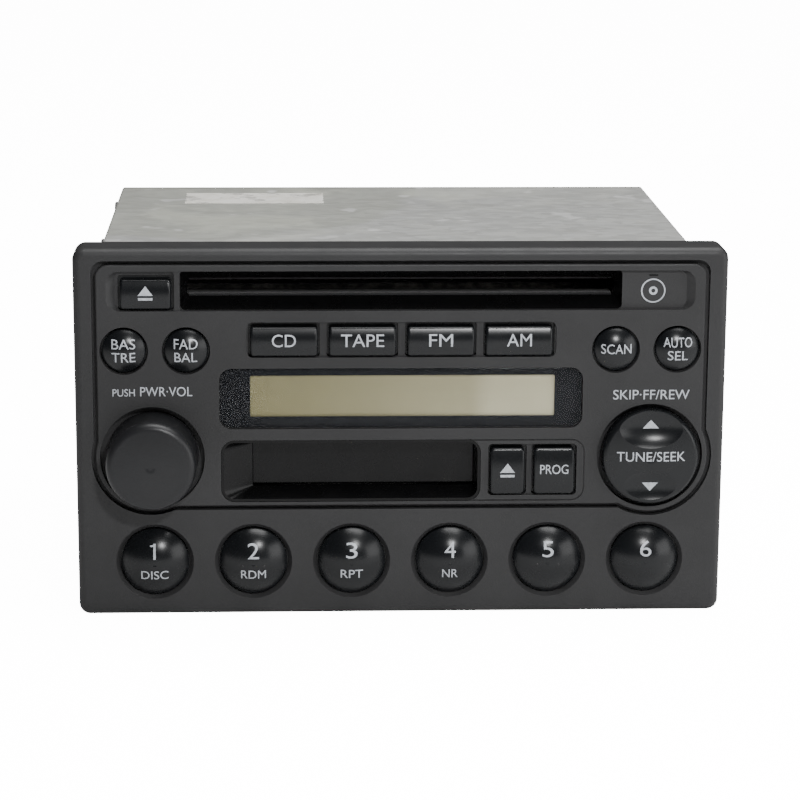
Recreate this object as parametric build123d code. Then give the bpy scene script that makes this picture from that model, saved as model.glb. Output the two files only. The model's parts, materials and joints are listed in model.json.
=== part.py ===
"""A double-height car radio with a disc slot, a cassette bay and a moulded control front.

Millimetres. +X is the viewer's right, -Y faces the driver, +Z is up. The working frame puts x = 0 in the
middle of the face, y = 0 on the face's front plane and z = 0 on the face's lower edge. Saving moves the
whole radio along Y, so that the origin is the middle of its footprint.
"""
from build123d import *
import os

# Chassis: the box that slides into the dashboard aperture
CHASSIS_W = 179.0
CHASSIS_H = 100.5
CHASSIS_DEPTH = 137.5
SHEET = 0.8
COVER_FLANGE_H = 8.6

# Face: the moulded front laps over the aperture on every side
LAP_SIDE = 6.2
LAP_TOP = 5.0
LAP_BOTTOM = 5.1
FACE_W = CHASSIS_W + 2 * LAP_SIDE
FACE_H = CHASSIS_H + LAP_TOP + LAP_BOTTOM
FRAME_DEPTH = 12.7
SKIN = 2.4
WALL = 2.2
CORNER_R = 3.4
EDGE_R = 2.3

# Parting groove between the frame and the centre panel, given at the groove's middle
GROOVE_W = 1.2
BAND_SIDE = 6.0
BAND_TOP = 4.1
PANEL_BOTTOM = 32.9
PANEL_R = 3.6
FLANGE_LAP = 1.7
FLANGE_T = 1.5

# Fits
GAP = 0.35
SEAT = 0.12
RUN = 0.05
TRAVEL = 0.8

# Boards and switches behind the face
BOARD_FRONT = 9.0
BOARD_T = 1.6
SWITCH_H = 3.0
STEM_R = 1.6
CAP_INSET = 0.3
CAP_DROP = 0.9
CAP_ROUND = 0.85
BUTTON_FLANGE = 1.0
BUTTON_FLANGE_T = 1.0
SHELL_T = 1.8

# Disc slot, placed down from the face's top edge
DISC_D = 120.0
SLOT_HALF = 64.6
SLOT_H = 11.8
SLOT_DROP = 12.5
POCKET_END = 3.7
POCKET_R = 4.0
POCKET_DEPTH = 1.6
POCKET_SLOPE = 2.4
POCKET_LEAD = 0.4
PILLAR_W = 1.9
PILLAR_WAIST = 1.3
FUNNEL_DEPTH = 8.4
THROAT_HALF = 62.7
THROAT_H = 5.4
FELT_T = 0.6
EJECT_W = 15.4
EJECT_H = 9.8

# Rows of buttons and the display, placed down from the face's top edge
ROW_DROP = 30.15
ROUND_R = 6.4
ROUND_RISE = 2.5
ROUND_RING = 0.7
ROUND_OUTER = 8.6
ROUND_INNER = 26.7
BAR_W = 20.3
BAR_H = 9.6
BAR_PITCH = 22.95
BAR_POCKET_W = 90.8
BAR_POCKET_H = 10.6
BAR_DROP = 27.0
RECESS_DEPTH = 0.9
RECESS_R = 2.0
DISPLAY_DROP = 44.65
DISPLAY_W = 107.0
DISPLAY_H = 18.3
DISPLAY_R = 3.7
LENS_T = 1.6
LCD_W = 96.0
LCD_H = 15.6
LCD_T = 2.8

# Knobs, placed in from the groove and up from the face's lower edge
KNOB_INSET = 16.0
KNOB_Z = 48.3
VOLUME_BULGE_R = 16.8
VOLUME_WELL_R = 15.4
VOLUME_KNOB_R = 13.2
VOLUME_FRONT = 12.6
VOLUME_INSET = 0.5
TUNE_BULGE_R = 17.8
TUNE_WELL_R = 15.7
TUNE_R = 14.3
TUNE_FRONT = 4.2
SCOOP_OFFSET = 9.6
WELL_FLOOR = 3.6
WELL_WALL = 1.2
SHAFT_R = 1.5
AXLE_R = 1.2

# Cassette opening and its two buttons
TAPE_X0 = -53.1
TAPE_X1 = 23.6
TAPE_Z0 = 34.6
TAPE_Z1 = 53.5
TAPE_R = 4.0
MOUTH_DEPTH = 6.2
PASSAGE_X0 = -43.9
PASSAGE_X1 = 21.9
PASSAGE_Z0 = 38.0
PASSAGE_Z1 = 51.6
DOOR_Y = 7.4
DOOR_T = 1.4
DOOR_PIVOT_Z = 52.2
DOOR_PIVOT_Y = 8.2
DOOR_STUB_R = 0.9
TAPE_BUTTON_GAP = 2.8
TAPE_EJECT_W = 10.8
PROGRAM_W = 12.7
TAPE_BUTTON_H = 15.0
TAPE_BUTTON_Z = 44.2

# Preset buttons in the frame's lower field
PRESET_COUNT = 6
PRESET_PITCH = 29.15
PRESET_Z = 16.5
PRESET_R = 10.0
PRESET_RISE = 4.6
PRESET_RING = 1.5
DISH_DEPTH = 1.3

# Disc mechanism
DISC_Y = 81.4
DISC_CLEAR = 2.1
DECK_T = 1.2
SLED_START = 25.0
SLED_TRAVEL = 33.0
ROLLER_R = 3.0
ROLLER_Y = 17.4
SCREW_R = 1.5
SCREW_DY = 13.0

# Cassette mechanism
TAPE_FLOOR_Z = 29.2
HOLDER_Z = 37.0
HOLDER_T = 0.8
HOLDER_Y0 = 26.0
HOLDER_Y1 = 118.0
HUB_X = -13.8
HUB_PITCH = 42.5
CASSETTE_MID_Y = 66.0
CAPSTAN_X = 15.6
CAPSTAN_PITCH = 68.0
CAPSTAN_R = 1.0
FLYWHEEL_R = 15.0
FLYWHEEL_T = 5.0
PULLEY_R = 3.6
MOTOR_X = -66.0
MOTOR_Y = 44.0

# Electronics and the rear
MAIN_BOARD_LIFT = 6.0
HEAT_SINK_DEPTH = 12.0
HEAT_SINK_W = 62.0
ANTENNA_R = 4.75
ANTENNA_WALL = 1.6
ANTENNA_LENGTH = 11.0
ANTENNA_X = -70.0
ANTENNA_RISE = 7.6
HARNESS_W = 42.0
HARNESS_H = 15.0
HARNESS_X = -22.0
SIDE_HOLE_R = 2.1
SIDE_PITCH_Y = 80.0
SIDE_PITCH_Z = 30.0
SIDE_FIRST_Y = 45.0
SIDE_RISE = 41.0

# Worked-out places
CHASSIS_FRONT = FRAME_DEPTH
CHASSIS_REAR = FRAME_DEPTH + CHASSIS_DEPTH
CHASSIS_BASE = LAP_BOTTOM
CHASSIS_TOP = LAP_BOTTOM + CHASSIS_H
INNER_HALF = CHASSIS_W / 2 - 2 * SHEET
CAVITY_HALF = FACE_W / 2 - WALL
PANEL_HALF = FACE_W / 2 - BAND_SIDE
PANEL_TOP = FACE_H - BAND_TOP
KNOB_X = PANEL_HALF - KNOB_INSET
VOLUME_X = VOLUME_INSET - KNOB_X
SLOT_Z = FACE_H - SLOT_DROP
ROW_Z = FACE_H - ROW_DROP
BAR_Z = FACE_H - BAR_DROP
DISPLAY_Z = FACE_H - DISPLAY_DROP
FLANGE_FRONT = SKIN + 0.2
FLANGE_BACK = FLANGE_FRONT + BUTTON_FLANGE_T
SWITCH_FRONT = BOARD_FRONT - SWITCH_H
STEM_END = SWITCH_FRONT - TRAVEL - 0.2
SHELL_BACK = FRAME_DEPTH
SHELL_FRONT = FRAME_DEPTH - SHELL_T
EJECT_X = -SLOT_HALF - PILLAR_W - GAP - EJECT_W / 2
TAPE_EJECT_X = TAPE_X1 + 3.2 + TAPE_EJECT_W / 2 - 0.7
PROGRAM_X = TAPE_EJECT_X + TAPE_EJECT_W / 2 + TAPE_BUTTON_GAP - 0.7 + PROGRAM_W / 2
CD_DECK_Z = SLOT_Z - 7.2
ROCKER_Y = WELL_FLOOR + WELL_WALL + 1.7
ROLLER_Z = SLOT_Z - 0.7 - ROLLER_R
CLAMP_PIVOT_Y = CHASSIS_REAR - 5.0
CLAMP_PIVOT_Z = SLOT_Z + 3.6
SCREW_Z = CD_DECK_Z - DECK_T - 3.0
BELT_Z = TAPE_FLOOR_Z - DECK_T - 0.4 - FLYWHEEL_T + 1.2
HARNESS_PLACE = (HARNESS_X, CHASSIS_BASE + MAIN_BOARD_LIFT + BOARD_T + HARNESS_H / 2 + SEAT)
ANTENNA_PLACE = (ANTENNA_X, CHASSIS_BASE + MAIN_BOARD_LIFT + BOARD_T + ANTENNA_RISE)
Y_SHIFT = -(CHASSIS_REAR + HEAT_SINK_DEPTH - VOLUME_FRONT) / 2


# ---------------------------------------------------------------- shape helpers
def prism(outline, y_front, y_back):
    """A solid of one XZ outline between two depths."""
    return extrude(Plane.XZ.offset(-y_back) * outline, y_back - y_front)


def outline(x0, x1, z0, z1, r):
    """A rectangle with rounded corners, given by its sides."""
    return Pos((x0 + x1) / 2, (z0 + z1) / 2) * RectangleRounded(x1 - x0, z1 - z0, r)


def block(x0, x1, y0, y1, z0, z1):
    """A box given by its sides."""
    return Pos((x0 + x1) / 2, (y0 + y1) / 2, (z0 + z1) / 2) * Box(x1 - x0, y1 - y0, z1 - z0)


def rod_x(x0, x1, y, z, r):
    return Pos((x0 + x1) / 2, y, z) * Rot(0, 90, 0) * Cylinder(r, x1 - x0)


def rod_y(x, z, r, y0, y1):
    return Pos(x, (y0 + y1) / 2, z) * Rot(90, 0, 0) * Cylinder(r, y1 - y0)


def rod_z(x, y, r, z0, z1):
    return Pos(x, y, (z0 + z1) / 2) * Cylinder(r, z1 - z0)


def cone_y(x, z, r_front, r_back, y0, y1):
    """A cone about Y, r_front wide at y0 and r_back wide at y1."""
    return Pos(x, (y0 + y1) / 2, z) * Rot(90, 0, 0) * Cone(r_back, r_front, y1 - y0)


def funnel_cut(front, back, y_front, y_back):
    """The space between a wide outline in front and a narrow one behind."""
    wide = Plane.XZ.offset(-y_front) * front
    narrow = Plane.XZ.offset(-y_back) * back
    return loft([wide, narrow])


def save(name, shape):
    export_step(Pos(0, Y_SHIFT, 0) * shape, f"parts/{name}.step")


# ---------------------------------------------------------------- face mouldings
def panel_outline(grow):
    """The groove's middle line, moved outwards by grow: a rectangle with a circle at each knob."""
    body = outline(-PANEL_HALF - grow, PANEL_HALF + grow, PANEL_BOTTOM - grow, PANEL_TOP + grow, PANEL_R)
    for side, radius in ((-1, VOLUME_BULGE_R), (1, TUNE_BULGE_R)):
        bulge = radius + grow
        corner = Pos(side * (KNOB_X + radius), KNOB_Z - radius) * Rectangle(2 * radius, 2 * radius)
        body = body - corner + Pos(side * KNOB_X, KNOB_Z) * Circle(bulge)
    return body


def dished_hole(x, z, radius, ring):
    """A round button's hole with the shallow dish around it."""
    hole = rod_y(x, z, radius + GAP, -1, SKIN + 1)
    return hole + cone_y(x, z, radius + ring, radius + GAP, -0.001, DISH_DEPTH)


def preset_places():
    first = -(PRESET_COUNT - 1) / 2 * PRESET_PITCH
    return [first + i * PRESET_PITCH for i in range(PRESET_COUNT)]


def round_places():
    return (
        ("bass_treble_button", -PANEL_HALF + ROUND_OUTER),
        ("fade_balance_button", -PANEL_HALF + ROUND_INNER),
        ("scan_button", PANEL_HALF - ROUND_INNER),
        ("auto_select_button", PANEL_HALF - ROUND_OUTER),
    )


def bar_places():
    names = ("source_button_cd", "source_button_tape", "source_button_fm", "source_button_am")
    return [(name, (i - 1.5) * BAR_PITCH) for i, name in enumerate(names)]


def front_frame():
    half = FACE_W / 2
    shell = prism(outline(-half, half, 0, FACE_H, CORNER_R), 0, FRAME_DEPTH)
    shell = fillet(shell.faces().sort_by(Axis.Y)[0].edges(), EDGE_R)
    cavity = outline(-CAVITY_HALF, CAVITY_HALF, WALL, FACE_H - WALL, CORNER_R - WALL)
    shell = shell - prism(cavity, SKIN, FRAME_DEPTH + 1)
    shell = shell - prism(panel_outline(GROOVE_W / 2), -1, SKIN + 1)
    for x in preset_places():
        shell = shell - dished_hole(x, PRESET_Z, PRESET_R, PRESET_RING)
    return shell


def knob_well(x, radius, floor_hole):
    """The cup behind a knob: a wall and a floor with a hole in it."""
    cup = rod_y(x, KNOB_Z, radius + WELL_WALL, SKIN - 0.3, WELL_FLOOR + WELL_WALL)
    return cup - rod_y(x, KNOB_Z, radius, -1, WELL_FLOOR) - floor_hole


def rocker_bearings():
    """Two blocks behind the tune well that hold the rocker's axle."""
    y0 = WELL_FLOOR + WELL_WALL
    blocks = Part()
    for x in (KNOB_X - 5.8, KNOB_X + 5.8):
        blocks = blocks + block(x - 1.6, x + 1.6, y0, y0 + 3.4, KNOB_Z - 3, KNOB_Z + 3)
    return blocks - rod_x(KNOB_X - 9, KNOB_X + 9, ROCKER_Y, KNOB_Z, AXLE_R + RUN)


def pillar(low, high):
    """The post between the eject button and the slot, flared where it meets the pocket's edges."""
    x = -SLOT_HALF - PILLAR_W / 2
    post = block(x - PILLAR_W / 2, x + PILLAR_W / 2, POCKET_DEPTH - 1.1, SKIN, low, high)
    for side in (-1, 1):
        near = x + side * PILLAR_WAIST / 2
        far = near + side * 9
        hollow = outline(min(near, far), max(near, far), low, high, 1.4)
        post = post - prism(hollow, -1, POCKET_DEPTH)
    return post


def centre_panel():
    edge = -GROOVE_W / 2
    panel = prism(panel_outline(edge), 0, SKIN)
    panel = fillet(panel.faces().sort_by(Axis.Y)[0].edges(), 0.5)
    flange = prism(panel_outline(FLANGE_LAP), SKIN, SKIN + FLANGE_T)
    flange = flange - prism(panel_outline(-3), SKIN - 1, SKIN + 9)
    panel = panel + flange
    for _, x in round_places():
        panel = panel - rod_y(x, ROW_Z, ROUND_R + BUTTON_FLANGE + GAP, SKIN, 9)
    # room behind the skin for the slot's funnel and the cassette's surround
    half = SLOT_HALF + 1.3 + SEAT
    room_z0 = SLOT_Z - SLOT_H / 2 - 1.0 - SEAT
    room_z1 = SLOT_Z + SLOT_H / 2 + 0.9 + SEAT
    panel = panel - block(-half, half, SKIN, 9, room_z0, room_z1)
    panel = panel - block(TAPE_X0 - 1.2 - SEAT, TAPE_X1 + 1.2 + SEAT, SKIN, 9,
                          TAPE_Z0 - 1.0 - SEAT, TAPE_Z1 + 1.3 + SEAT)
    # long pocket across the top, with the slot, the pillar and the eject hole in it
    pocket_half = PANEL_HALF - POCKET_END
    low = SLOT_Z - SLOT_H / 2
    high = SLOT_Z + SLOT_H / 2
    floor_half = pocket_half - POCKET_SLOPE
    mouth_half = pocket_half + POCKET_LEAD / POCKET_DEPTH * POCKET_SLOPE
    mouth = outline(-mouth_half, mouth_half, low, high, POCKET_R)
    floor = outline(-floor_half, floor_half, low, high, POCKET_R - 1)
    panel = panel - funnel_cut(mouth, floor, -POCKET_LEAD, POCKET_DEPTH)
    panel = panel + pillar(low, high)
    panel = panel - prism(outline(-SLOT_HALF, SLOT_HALF, low, high, 1.5), -1, SKIN + 9)
    eject_hole = bar_outline(EJECT_X, SLOT_Z - 0.5, EJECT_W + 2 * GAP, EJECT_H + 2 * GAP, 0.8)
    panel = panel - prism(eject_hole, -1, 9)
    # round, bar and cassette buttons
    for _, x in round_places():
        panel = panel - dished_hole(x, ROW_Z, ROUND_R, ROUND_RING)
    panel = panel - prism(bar_outline(0, BAR_Z, BAR_POCKET_W, BAR_POCKET_H, RECESS_R), -1, RECESS_DEPTH)
    for _, x in bar_places():
        panel = panel - prism(bar_outline(x, BAR_Z, BAR_W + 2 * GAP, BAR_H + 2 * GAP, 0.8), -1, 9)
    right = PROGRAM_X + PROGRAM_W / 2 + GAP
    left = TAPE_EJECT_X - TAPE_EJECT_W / 2 - GAP
    pair_z = (TAPE_BUTTON_Z - TAPE_BUTTON_H / 2 - GAP, TAPE_BUTTON_Z + TAPE_BUTTON_H / 2 + GAP)
    panel = panel - prism(outline(left, right, pair_z[0], pair_z[1], RECESS_R), -1, RECESS_DEPTH)
    for x, width in ((TAPE_EJECT_X, TAPE_EJECT_W), (PROGRAM_X, PROGRAM_W)):
        hole = bar_outline(x, TAPE_BUTTON_Z, width + 2 * GAP, TAPE_BUTTON_H + 2 * GAP, 1.2)
        panel = panel - prism(hole, -1, 9)
    ring = outline(TAPE_X1 - 9, right + 2.4, TAPE_Z0, TAPE_Z1, TAPE_R)
    ring = ring - outline(TAPE_X1 - 8.5, right + 1.9, TAPE_Z0 + 0.5, TAPE_Z1 - 0.5, TAPE_R - 0.5)
    panel = panel - prism(ring, -1, 0.5)
    # display window: a shallow seat for the lens and the opening in front of the crystal
    panel = panel - prism(bar_outline(0, DISPLAY_Z, DISPLAY_W, DISPLAY_H, DISPLAY_R), -1, LENS_T + 0.3)
    panel = panel - prism(bar_outline(0, DISPLAY_Z, LCD_W - 4, LCD_H - 2, 0.6), -1, 9)
    # cassette mouth
    panel = panel - prism(outline(TAPE_X0, TAPE_X1, TAPE_Z0, TAPE_Z1, TAPE_R), -1, 9)
    # knob wells
    panel = panel - rod_y(VOLUME_X, KNOB_Z, VOLUME_WELL_R, -1, 9)
    panel = panel - rod_y(KNOB_X, KNOB_Z, TUNE_WELL_R, -1, 9)
    bush_hole = rod_y(VOLUME_X, KNOB_Z, 3.6, 0, 9)
    slot_hole = block(KNOB_X - 4.2, KNOB_X + 4.2, 0, 9, KNOB_Z - 3.2, KNOB_Z + 3.2)
    panel = panel + knob_well(VOLUME_X, VOLUME_WELL_R, bush_hole)
    return panel + knob_well(KNOB_X, TUNE_WELL_R, slot_hole) + rocker_bearings()


def bar_outline(x, z, width, height, r):
    return Pos(x, z) * RectangleRounded(width, height, r)


def display_lens():
    shape = bar_outline(0, DISPLAY_Z, DISPLAY_W - 2 * SEAT, DISPLAY_H - 2 * SEAT, DISPLAY_R - SEAT)
    return prism(shape, 0.3, LENS_T + 0.3)


def lcd_panel():
    front = SKIN + 0.1
    return prism(bar_outline(0, DISPLAY_Z, LCD_W, LCD_H, 0.5), front, front + LCD_T)


def disc_slot_funnel():
    """Black lining behind the slot: a wide mouth that narrows to the throat."""
    low = SLOT_Z - SLOT_H / 2
    high = SLOT_Z + SLOT_H / 2
    body = block(-SLOT_HALF - 1.3, SLOT_HALF + 1.3, SKIN, SKIN + FUNNEL_DEPTH, low - 1.0, high + 0.9)
    mouth = bar_outline(0, SLOT_Z, 2 * SLOT_HALF, SLOT_H, 1.5)
    throat = bar_outline(0, SLOT_Z, 2 * THROAT_HALF, THROAT_H, 1.5)
    body = body - funnel_cut(mouth, throat, SKIN, SKIN + 5.0)
    throat = bar_outline(0, SLOT_Z, 2 * THROAT_HALF, THROAT_H, 0.5)
    return body - prism(throat, SKIN + 4.9, SKIN + FUNNEL_DEPTH + 1)


def disc_slot_felts():
    y0 = SKIN + 5.6
    y1 = SKIN + FUNNEL_DEPTH - 0.4
    half = THROAT_HALF - 0.6
    upper = block(-half, half, y0, y1, SLOT_Z + THROAT_H / 2 - FELT_T, SLOT_Z + THROAT_H / 2)
    lower = block(-half, half, y0, y1, SLOT_Z - THROAT_H / 2, SLOT_Z - THROAT_H / 2 + FELT_T)
    return Part() + [upper, lower]


def tape_surround():
    """Black mouth of the cassette bay: it narrows to the passage and holds the door's pivots."""
    rim = outline(TAPE_X0 + SEAT, TAPE_X1 - SEAT, TAPE_Z0 + SEAT, TAPE_Z1 - SEAT, TAPE_R - SEAT)
    body = prism(rim, 0.4, SKIN)
    body = body + block(TAPE_X0 - 1.2, TAPE_X1 + 1.2, SKIN, 9.6, TAPE_Z0 - 1.0, TAPE_Z1 + 1.3)
    mouth = outline(TAPE_X0 + 0.9, TAPE_X1 - 0.9, TAPE_Z0 + 0.9, TAPE_Z1 - 0.9, TAPE_R - 0.9)
    passage = outline(PASSAGE_X0, PASSAGE_X1, PASSAGE_Z0, PASSAGE_Z1, 0.6)
    body = body - funnel_cut(mouth, passage, 0.4, MOUTH_DEPTH) - prism(passage, MOUTH_DEPTH - 0.1, 11)
    pocket_x0 = PASSAGE_X0 - 0.1
    pocket_x1 = PASSAGE_X1 + 0.1
    pocket_z0 = PASSAGE_Z0 - 0.1
    pocket = block(pocket_x0, pocket_x1, MOUTH_DEPTH + 0.5, 11, pocket_z0, DOOR_PIVOT_Z + 1.5)
    stub_radius = DOOR_STUB_R + RUN
    stub_hole = rod_x(PASSAGE_X0 - 1.6, PASSAGE_X1 + 1.6, DOOR_PIVOT_Y, DOOR_PIVOT_Z, stub_radius)
    return body - pocket - stub_hole


def tape_door():
    x0 = PASSAGE_X0 + 0.2
    x1 = PASSAGE_X1 - 0.2
    leaf = block(x0, x1, DOOR_Y, DOOR_Y + DOOR_T, PASSAGE_Z0 + 0.3, DOOR_PIVOT_Z)
    leaf = fillet(leaf.faces().sort_by(Axis.Y)[0].edges().sort_by(Axis.Z)[:1], 0.5)
    barrel = rod_x(x0, x1, DOOR_PIVOT_Y, DOOR_PIVOT_Z, 1.1)
    stubs = rod_x(PASSAGE_X0 - 1.3, PASSAGE_X1 + 1.3, DOOR_PIVOT_Y, DOOR_PIVOT_Z, DOOR_STUB_R)
    return leaf + barrel + stubs


# ---------------------------------------------------------------- buttons and knobs
def round_button(x, z, radius, rise):
    """Dome, skirt, retaining flange and stem, turned about the button's own axis."""
    rim = 0.5
    crown = TangentArc((0, rim - rise), (radius, rim), tangent=(1, 0))
    flange_r = radius + BUTTON_FLANGE
    rest = Polyline(
        (radius, rim), (radius, FLANGE_FRONT), (flange_r, FLANGE_FRONT), (flange_r, FLANGE_BACK),
        (STEM_R, FLANGE_BACK), (STEM_R, STEM_END), (0, STEM_END), (0, rim - rise),
    )
    return Pos(x, 0, z) * revolve(make_face(crown + rest), Axis.Y)


def bar_button(x, z, width, height, proud, corner):
    """A bar button: a face crowned from top to bottom, a retaining flange and a stem."""
    sag = 1.0
    cap_z = z - CAP_DROP / 2
    half = (height - CAP_DROP) / 2
    cap = bar_outline(x, cap_z, width - 2 * CAP_INSET, 2 * half, corner + CAP_INSET)
    cap = prism(cap, -proud, FLANGE_FRONT)
    low = cap_z - half - 0.01
    high = cap_z + half + 0.01
    arc = ThreePointArc((-proud + sag, low), (-proud, cap_z), (-proud + sag, high))
    back = Polyline((-proud + sag, high), (FLANGE_FRONT, high), (FLANGE_FRONT, low), (-proud + sag, low))
    crown = extrude(Plane.YZ * make_face(arc + back), width, both=True)
    cap = cap & (Pos(x, 0, 0) * crown)
    cap = fillet(cap.faces().sort_by(Axis.Y)[0].edges(), CAP_ROUND)
    flange = prism(bar_outline(x, z, width + 1.4, height + 1.4, 0.5), FLANGE_FRONT, FLANGE_BACK)
    return cap + flange + rod_y(x, z, STEM_R, FLANGE_BACK, STEM_END)


def volume_knob():
    """A plain round knob with a softly crowned face, hollow behind, turning on the push spindle."""
    front = -VOLUME_FRONT
    edge = 2.4
    crown = 0.5
    shoulder = VOLUME_KNOB_R - edge
    face_arc = TangentArc((0, front), (shoulder, front + crown), tangent=(1, 0))
    round_arc = ThreePointArc(
        (shoulder, front + crown),
        (shoulder + edge * 0.72, front + crown + edge * 0.32),
        (VOLUME_KNOB_R, front + crown + edge),
    )
    back = WELL_FLOOR - TRAVEL - 0.6
    rest = Polyline(
        (VOLUME_KNOB_R, front + crown + edge), (VOLUME_KNOB_R + 0.3, back), (VOLUME_KNOB_R - 1.6, back),
        (VOLUME_KNOB_R - 1.9, front + 4.5), (SHAFT_R + 2.2, front + 4.5), (SHAFT_R + 2.2, back - 0.4),
        (SHAFT_R + RUN, back - 0.4), (SHAFT_R + RUN, front + 4.2), (0, front + 4.2), (0, front),
    )
    return Pos(VOLUME_X, 0, KNOB_Z) * revolve(make_face(face_arc + round_arc + rest), Axis.Y)


def volume_shaft():
    """Push spindle inside the encoder and the knob."""
    return rod_y(VOLUME_X, KNOB_Z, SHAFT_R, -VOLUME_FRONT + 4.4, BOARD_FRONT - 1.4)


def volume_encoder():
    y0 = WELL_FLOOR + WELL_WALL
    body = block(VOLUME_X - 6, VOLUME_X + 6, y0, BOARD_FRONT, KNOB_Z - 6, KNOB_Z + 6)
    body = body + rod_y(VOLUME_X, KNOB_Z, 3.4, WELL_FLOOR - 0.4, y0)
    return body - rod_y(VOLUME_X, KNOB_Z, SHAFT_R + RUN, 0, BOARD_FRONT - 0.3)


def finger_scoop(z, half_w, half_h, depth):
    """A barrel-shaped cutter lying along X, which leaves an eye-shaped hollow."""
    centre_gap = (half_h ** 2 - depth ** 2) / (2 * depth)
    belly = centre_gap + depth
    arc = ThreePointArc((-half_w, centre_gap), (0, belly), (half_w, centre_gap))
    rest = Polyline((half_w, centre_gap), (half_w, 0), (-half_w, 0), (-half_w, centre_gap))
    barrel = revolve(make_face(arc + rest), Axis.X)
    return Pos(KNOB_X, -TUNE_FRONT - centre_gap + 0.35, z) * barrel


def tune_seek_rocker():
    front = -TUNE_FRONT
    crown = 0.9
    edge = 1.6
    shoulder = TUNE_R - edge
    face_arc = TangentArc((0, front), (shoulder, front + crown), tangent=(1, 0))
    round_arc = ThreePointArc(
        (shoulder, front + crown),
        (shoulder + edge * 0.74, front + crown + edge * 0.34),
        (TUNE_R, front + crown + edge),
    )
    rest = Polyline((TUNE_R, front + crown + edge), (TUNE_R, 2.0), (0, 2.0), (0, front))
    disc = Pos(KNOB_X, 0, KNOB_Z) * revolve(make_face(face_arc + round_arc + rest), Axis.Y)
    disc = disc - finger_scoop(KNOB_Z + SCOOP_OFFSET, 10.8, 6.2, 2.4)
    disc = disc - finger_scoop(KNOB_Z - SCOOP_OFFSET + 0.6, 9.4, 4.8, 1.3)
    boss = block(KNOB_X - 3.0, KNOB_X + 3.0, 1.0, ROCKER_Y + 1.3, KNOB_Z - 2, KNOB_Z + 2)
    axle = rod_x(KNOB_X - 7.3, KNOB_X + 7.3, ROCKER_Y, KNOB_Z, AXLE_R)
    return disc + boss + axle


# ---------------------------------------------------------------- front electronics
def switch_places():
    """Where each button's stem meets the front board."""
    places = [(x, PRESET_Z) for x in preset_places()]
    places += [(x, ROW_Z) for _, x in round_places()]
    places += [(x, BAR_Z) for _, x in bar_places()]
    places += [(EJECT_X, SLOT_Z - 0.5), (TAPE_EJECT_X, TAPE_BUTTON_Z), (PROGRAM_X, TAPE_BUTTON_Z)]
    return places


def front_circuit_board():
    half = CAVITY_HALF - 1.5
    board = block(-half, half, BOARD_FRONT, BOARD_FRONT + BOARD_T, WALL + 1.5, FACE_H - WALL - 1.5)
    slot = block(-SLOT_HALF - 2, SLOT_HALF + 2, 0, 20, SLOT_Z - SLOT_H / 2 - 1.5, FACE_H)
    mouth = block(TAPE_X0 - 2, TAPE_X1 + 1.8, 0, 20, TAPE_Z0 - 1.8, TAPE_Z1 + 2)
    return board - slot - mouth


def front_board_components():
    """Key switches under every stem, two more under the rocker, and the lamps behind the crystal."""
    pieces = [block(x - 3, x + 3, SWITCH_FRONT, BOARD_FRONT, z - 3, z + 3) for x, z in switch_places()]
    lamp_y = (SKIN + LCD_T + 0.4, BOARD_FRONT)
    for i in range(4):
        x = (i - 1.5) * 24
        pieces.append(block(x - 1.5, x + 1.5, lamp_y[0], lamp_y[1], DISPLAY_Z - 1.5, DISPLAY_Z + 1.5))
    for side in (-1, 1):
        z = KNOB_Z + side * 10
        pieces.append(block(KNOB_X - 3, KNOB_X + 3, SWITCH_FRONT, BOARD_FRONT, z - 3, z + 3))
    return Part() + pieces


def front_back_shell():
    """Rear wall of the front unit, with ways through for the disc and the cassette."""
    half = CAVITY_HALF - SEAT
    rim = outline(-half, half, WALL + SEAT, FACE_H - WALL - SEAT, CORNER_R - WALL)
    wall = prism(rim, SHELL_FRONT, SHELL_BACK)
    slot_half_h = THROAT_H / 2 + 0.8
    slot = block(-THROAT_HALF - 1, THROAT_HALF + 1, 0, 20, SLOT_Z - slot_half_h, SLOT_Z + slot_half_h)
    mouth = block(PASSAGE_X0 - 0.4, PASSAGE_X1 + 0.4, 0, 20, PASSAGE_Z0 - 0.4, DOOR_PIVOT_Z + 1.6)
    return wall - slot - mouth


# ---------------------------------------------------------------- chassis
def side_hole_places():
    low = CHASSIS_BASE + SIDE_RISE
    return [(y, z) for y in (SIDE_FIRST_Y, SIDE_FIRST_Y + SIDE_PITCH_Y) for z in (low, low + SIDE_PITCH_Z)]


def cover_screw_places():
    return (CHASSIS_FRONT + 44, CHASSIS_REAR - 21)


def side_plate(side):
    x0 = INNER_HALF
    x1 = INNER_HALF + SHEET
    plate = block(x0, x1, CHASSIS_FRONT, CHASSIS_REAR, CHASSIS_BASE + SHEET, CHASSIS_TOP - SHEET)
    for y, z in side_hole_places():
        plate = plate + rod_x(x0 - 2.0, x0, y, z, SIDE_HOLE_R + 2.0)
        plate = plate - rod_x(x0 - 3.0, x1 + 1, y, z, SIDE_HOLE_R)
    for y in cover_screw_places():
        plate = plate - rod_x(x0 - 1, x1 + 1, y, CHASSIS_TOP - 4.4, 1.2)
    return plate if side > 0 else plate.mirror(Plane.YZ)


def top_cover():
    half = CHASSIS_W / 2
    lid = block(-half, half, CHASSIS_FRONT, CHASSIS_REAR, CHASSIS_TOP - COVER_FLANGE_H, CHASSIS_TOP)
    lid = fillet(lid.edges().filter_by(Axis.Y).sort_by(Axis.Z)[2:], 1.0)
    inner = block(-half + SHEET, half - SHEET, 0, 900, 0, CHASSIS_TOP - SHEET)
    lid = lid - inner
    for y in cover_screw_places():
        lid = lid - rod_x(-half - 1, half + 1, y, CHASSIS_TOP - 4.4, 1.5 + SEAT)
    return lid


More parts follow.
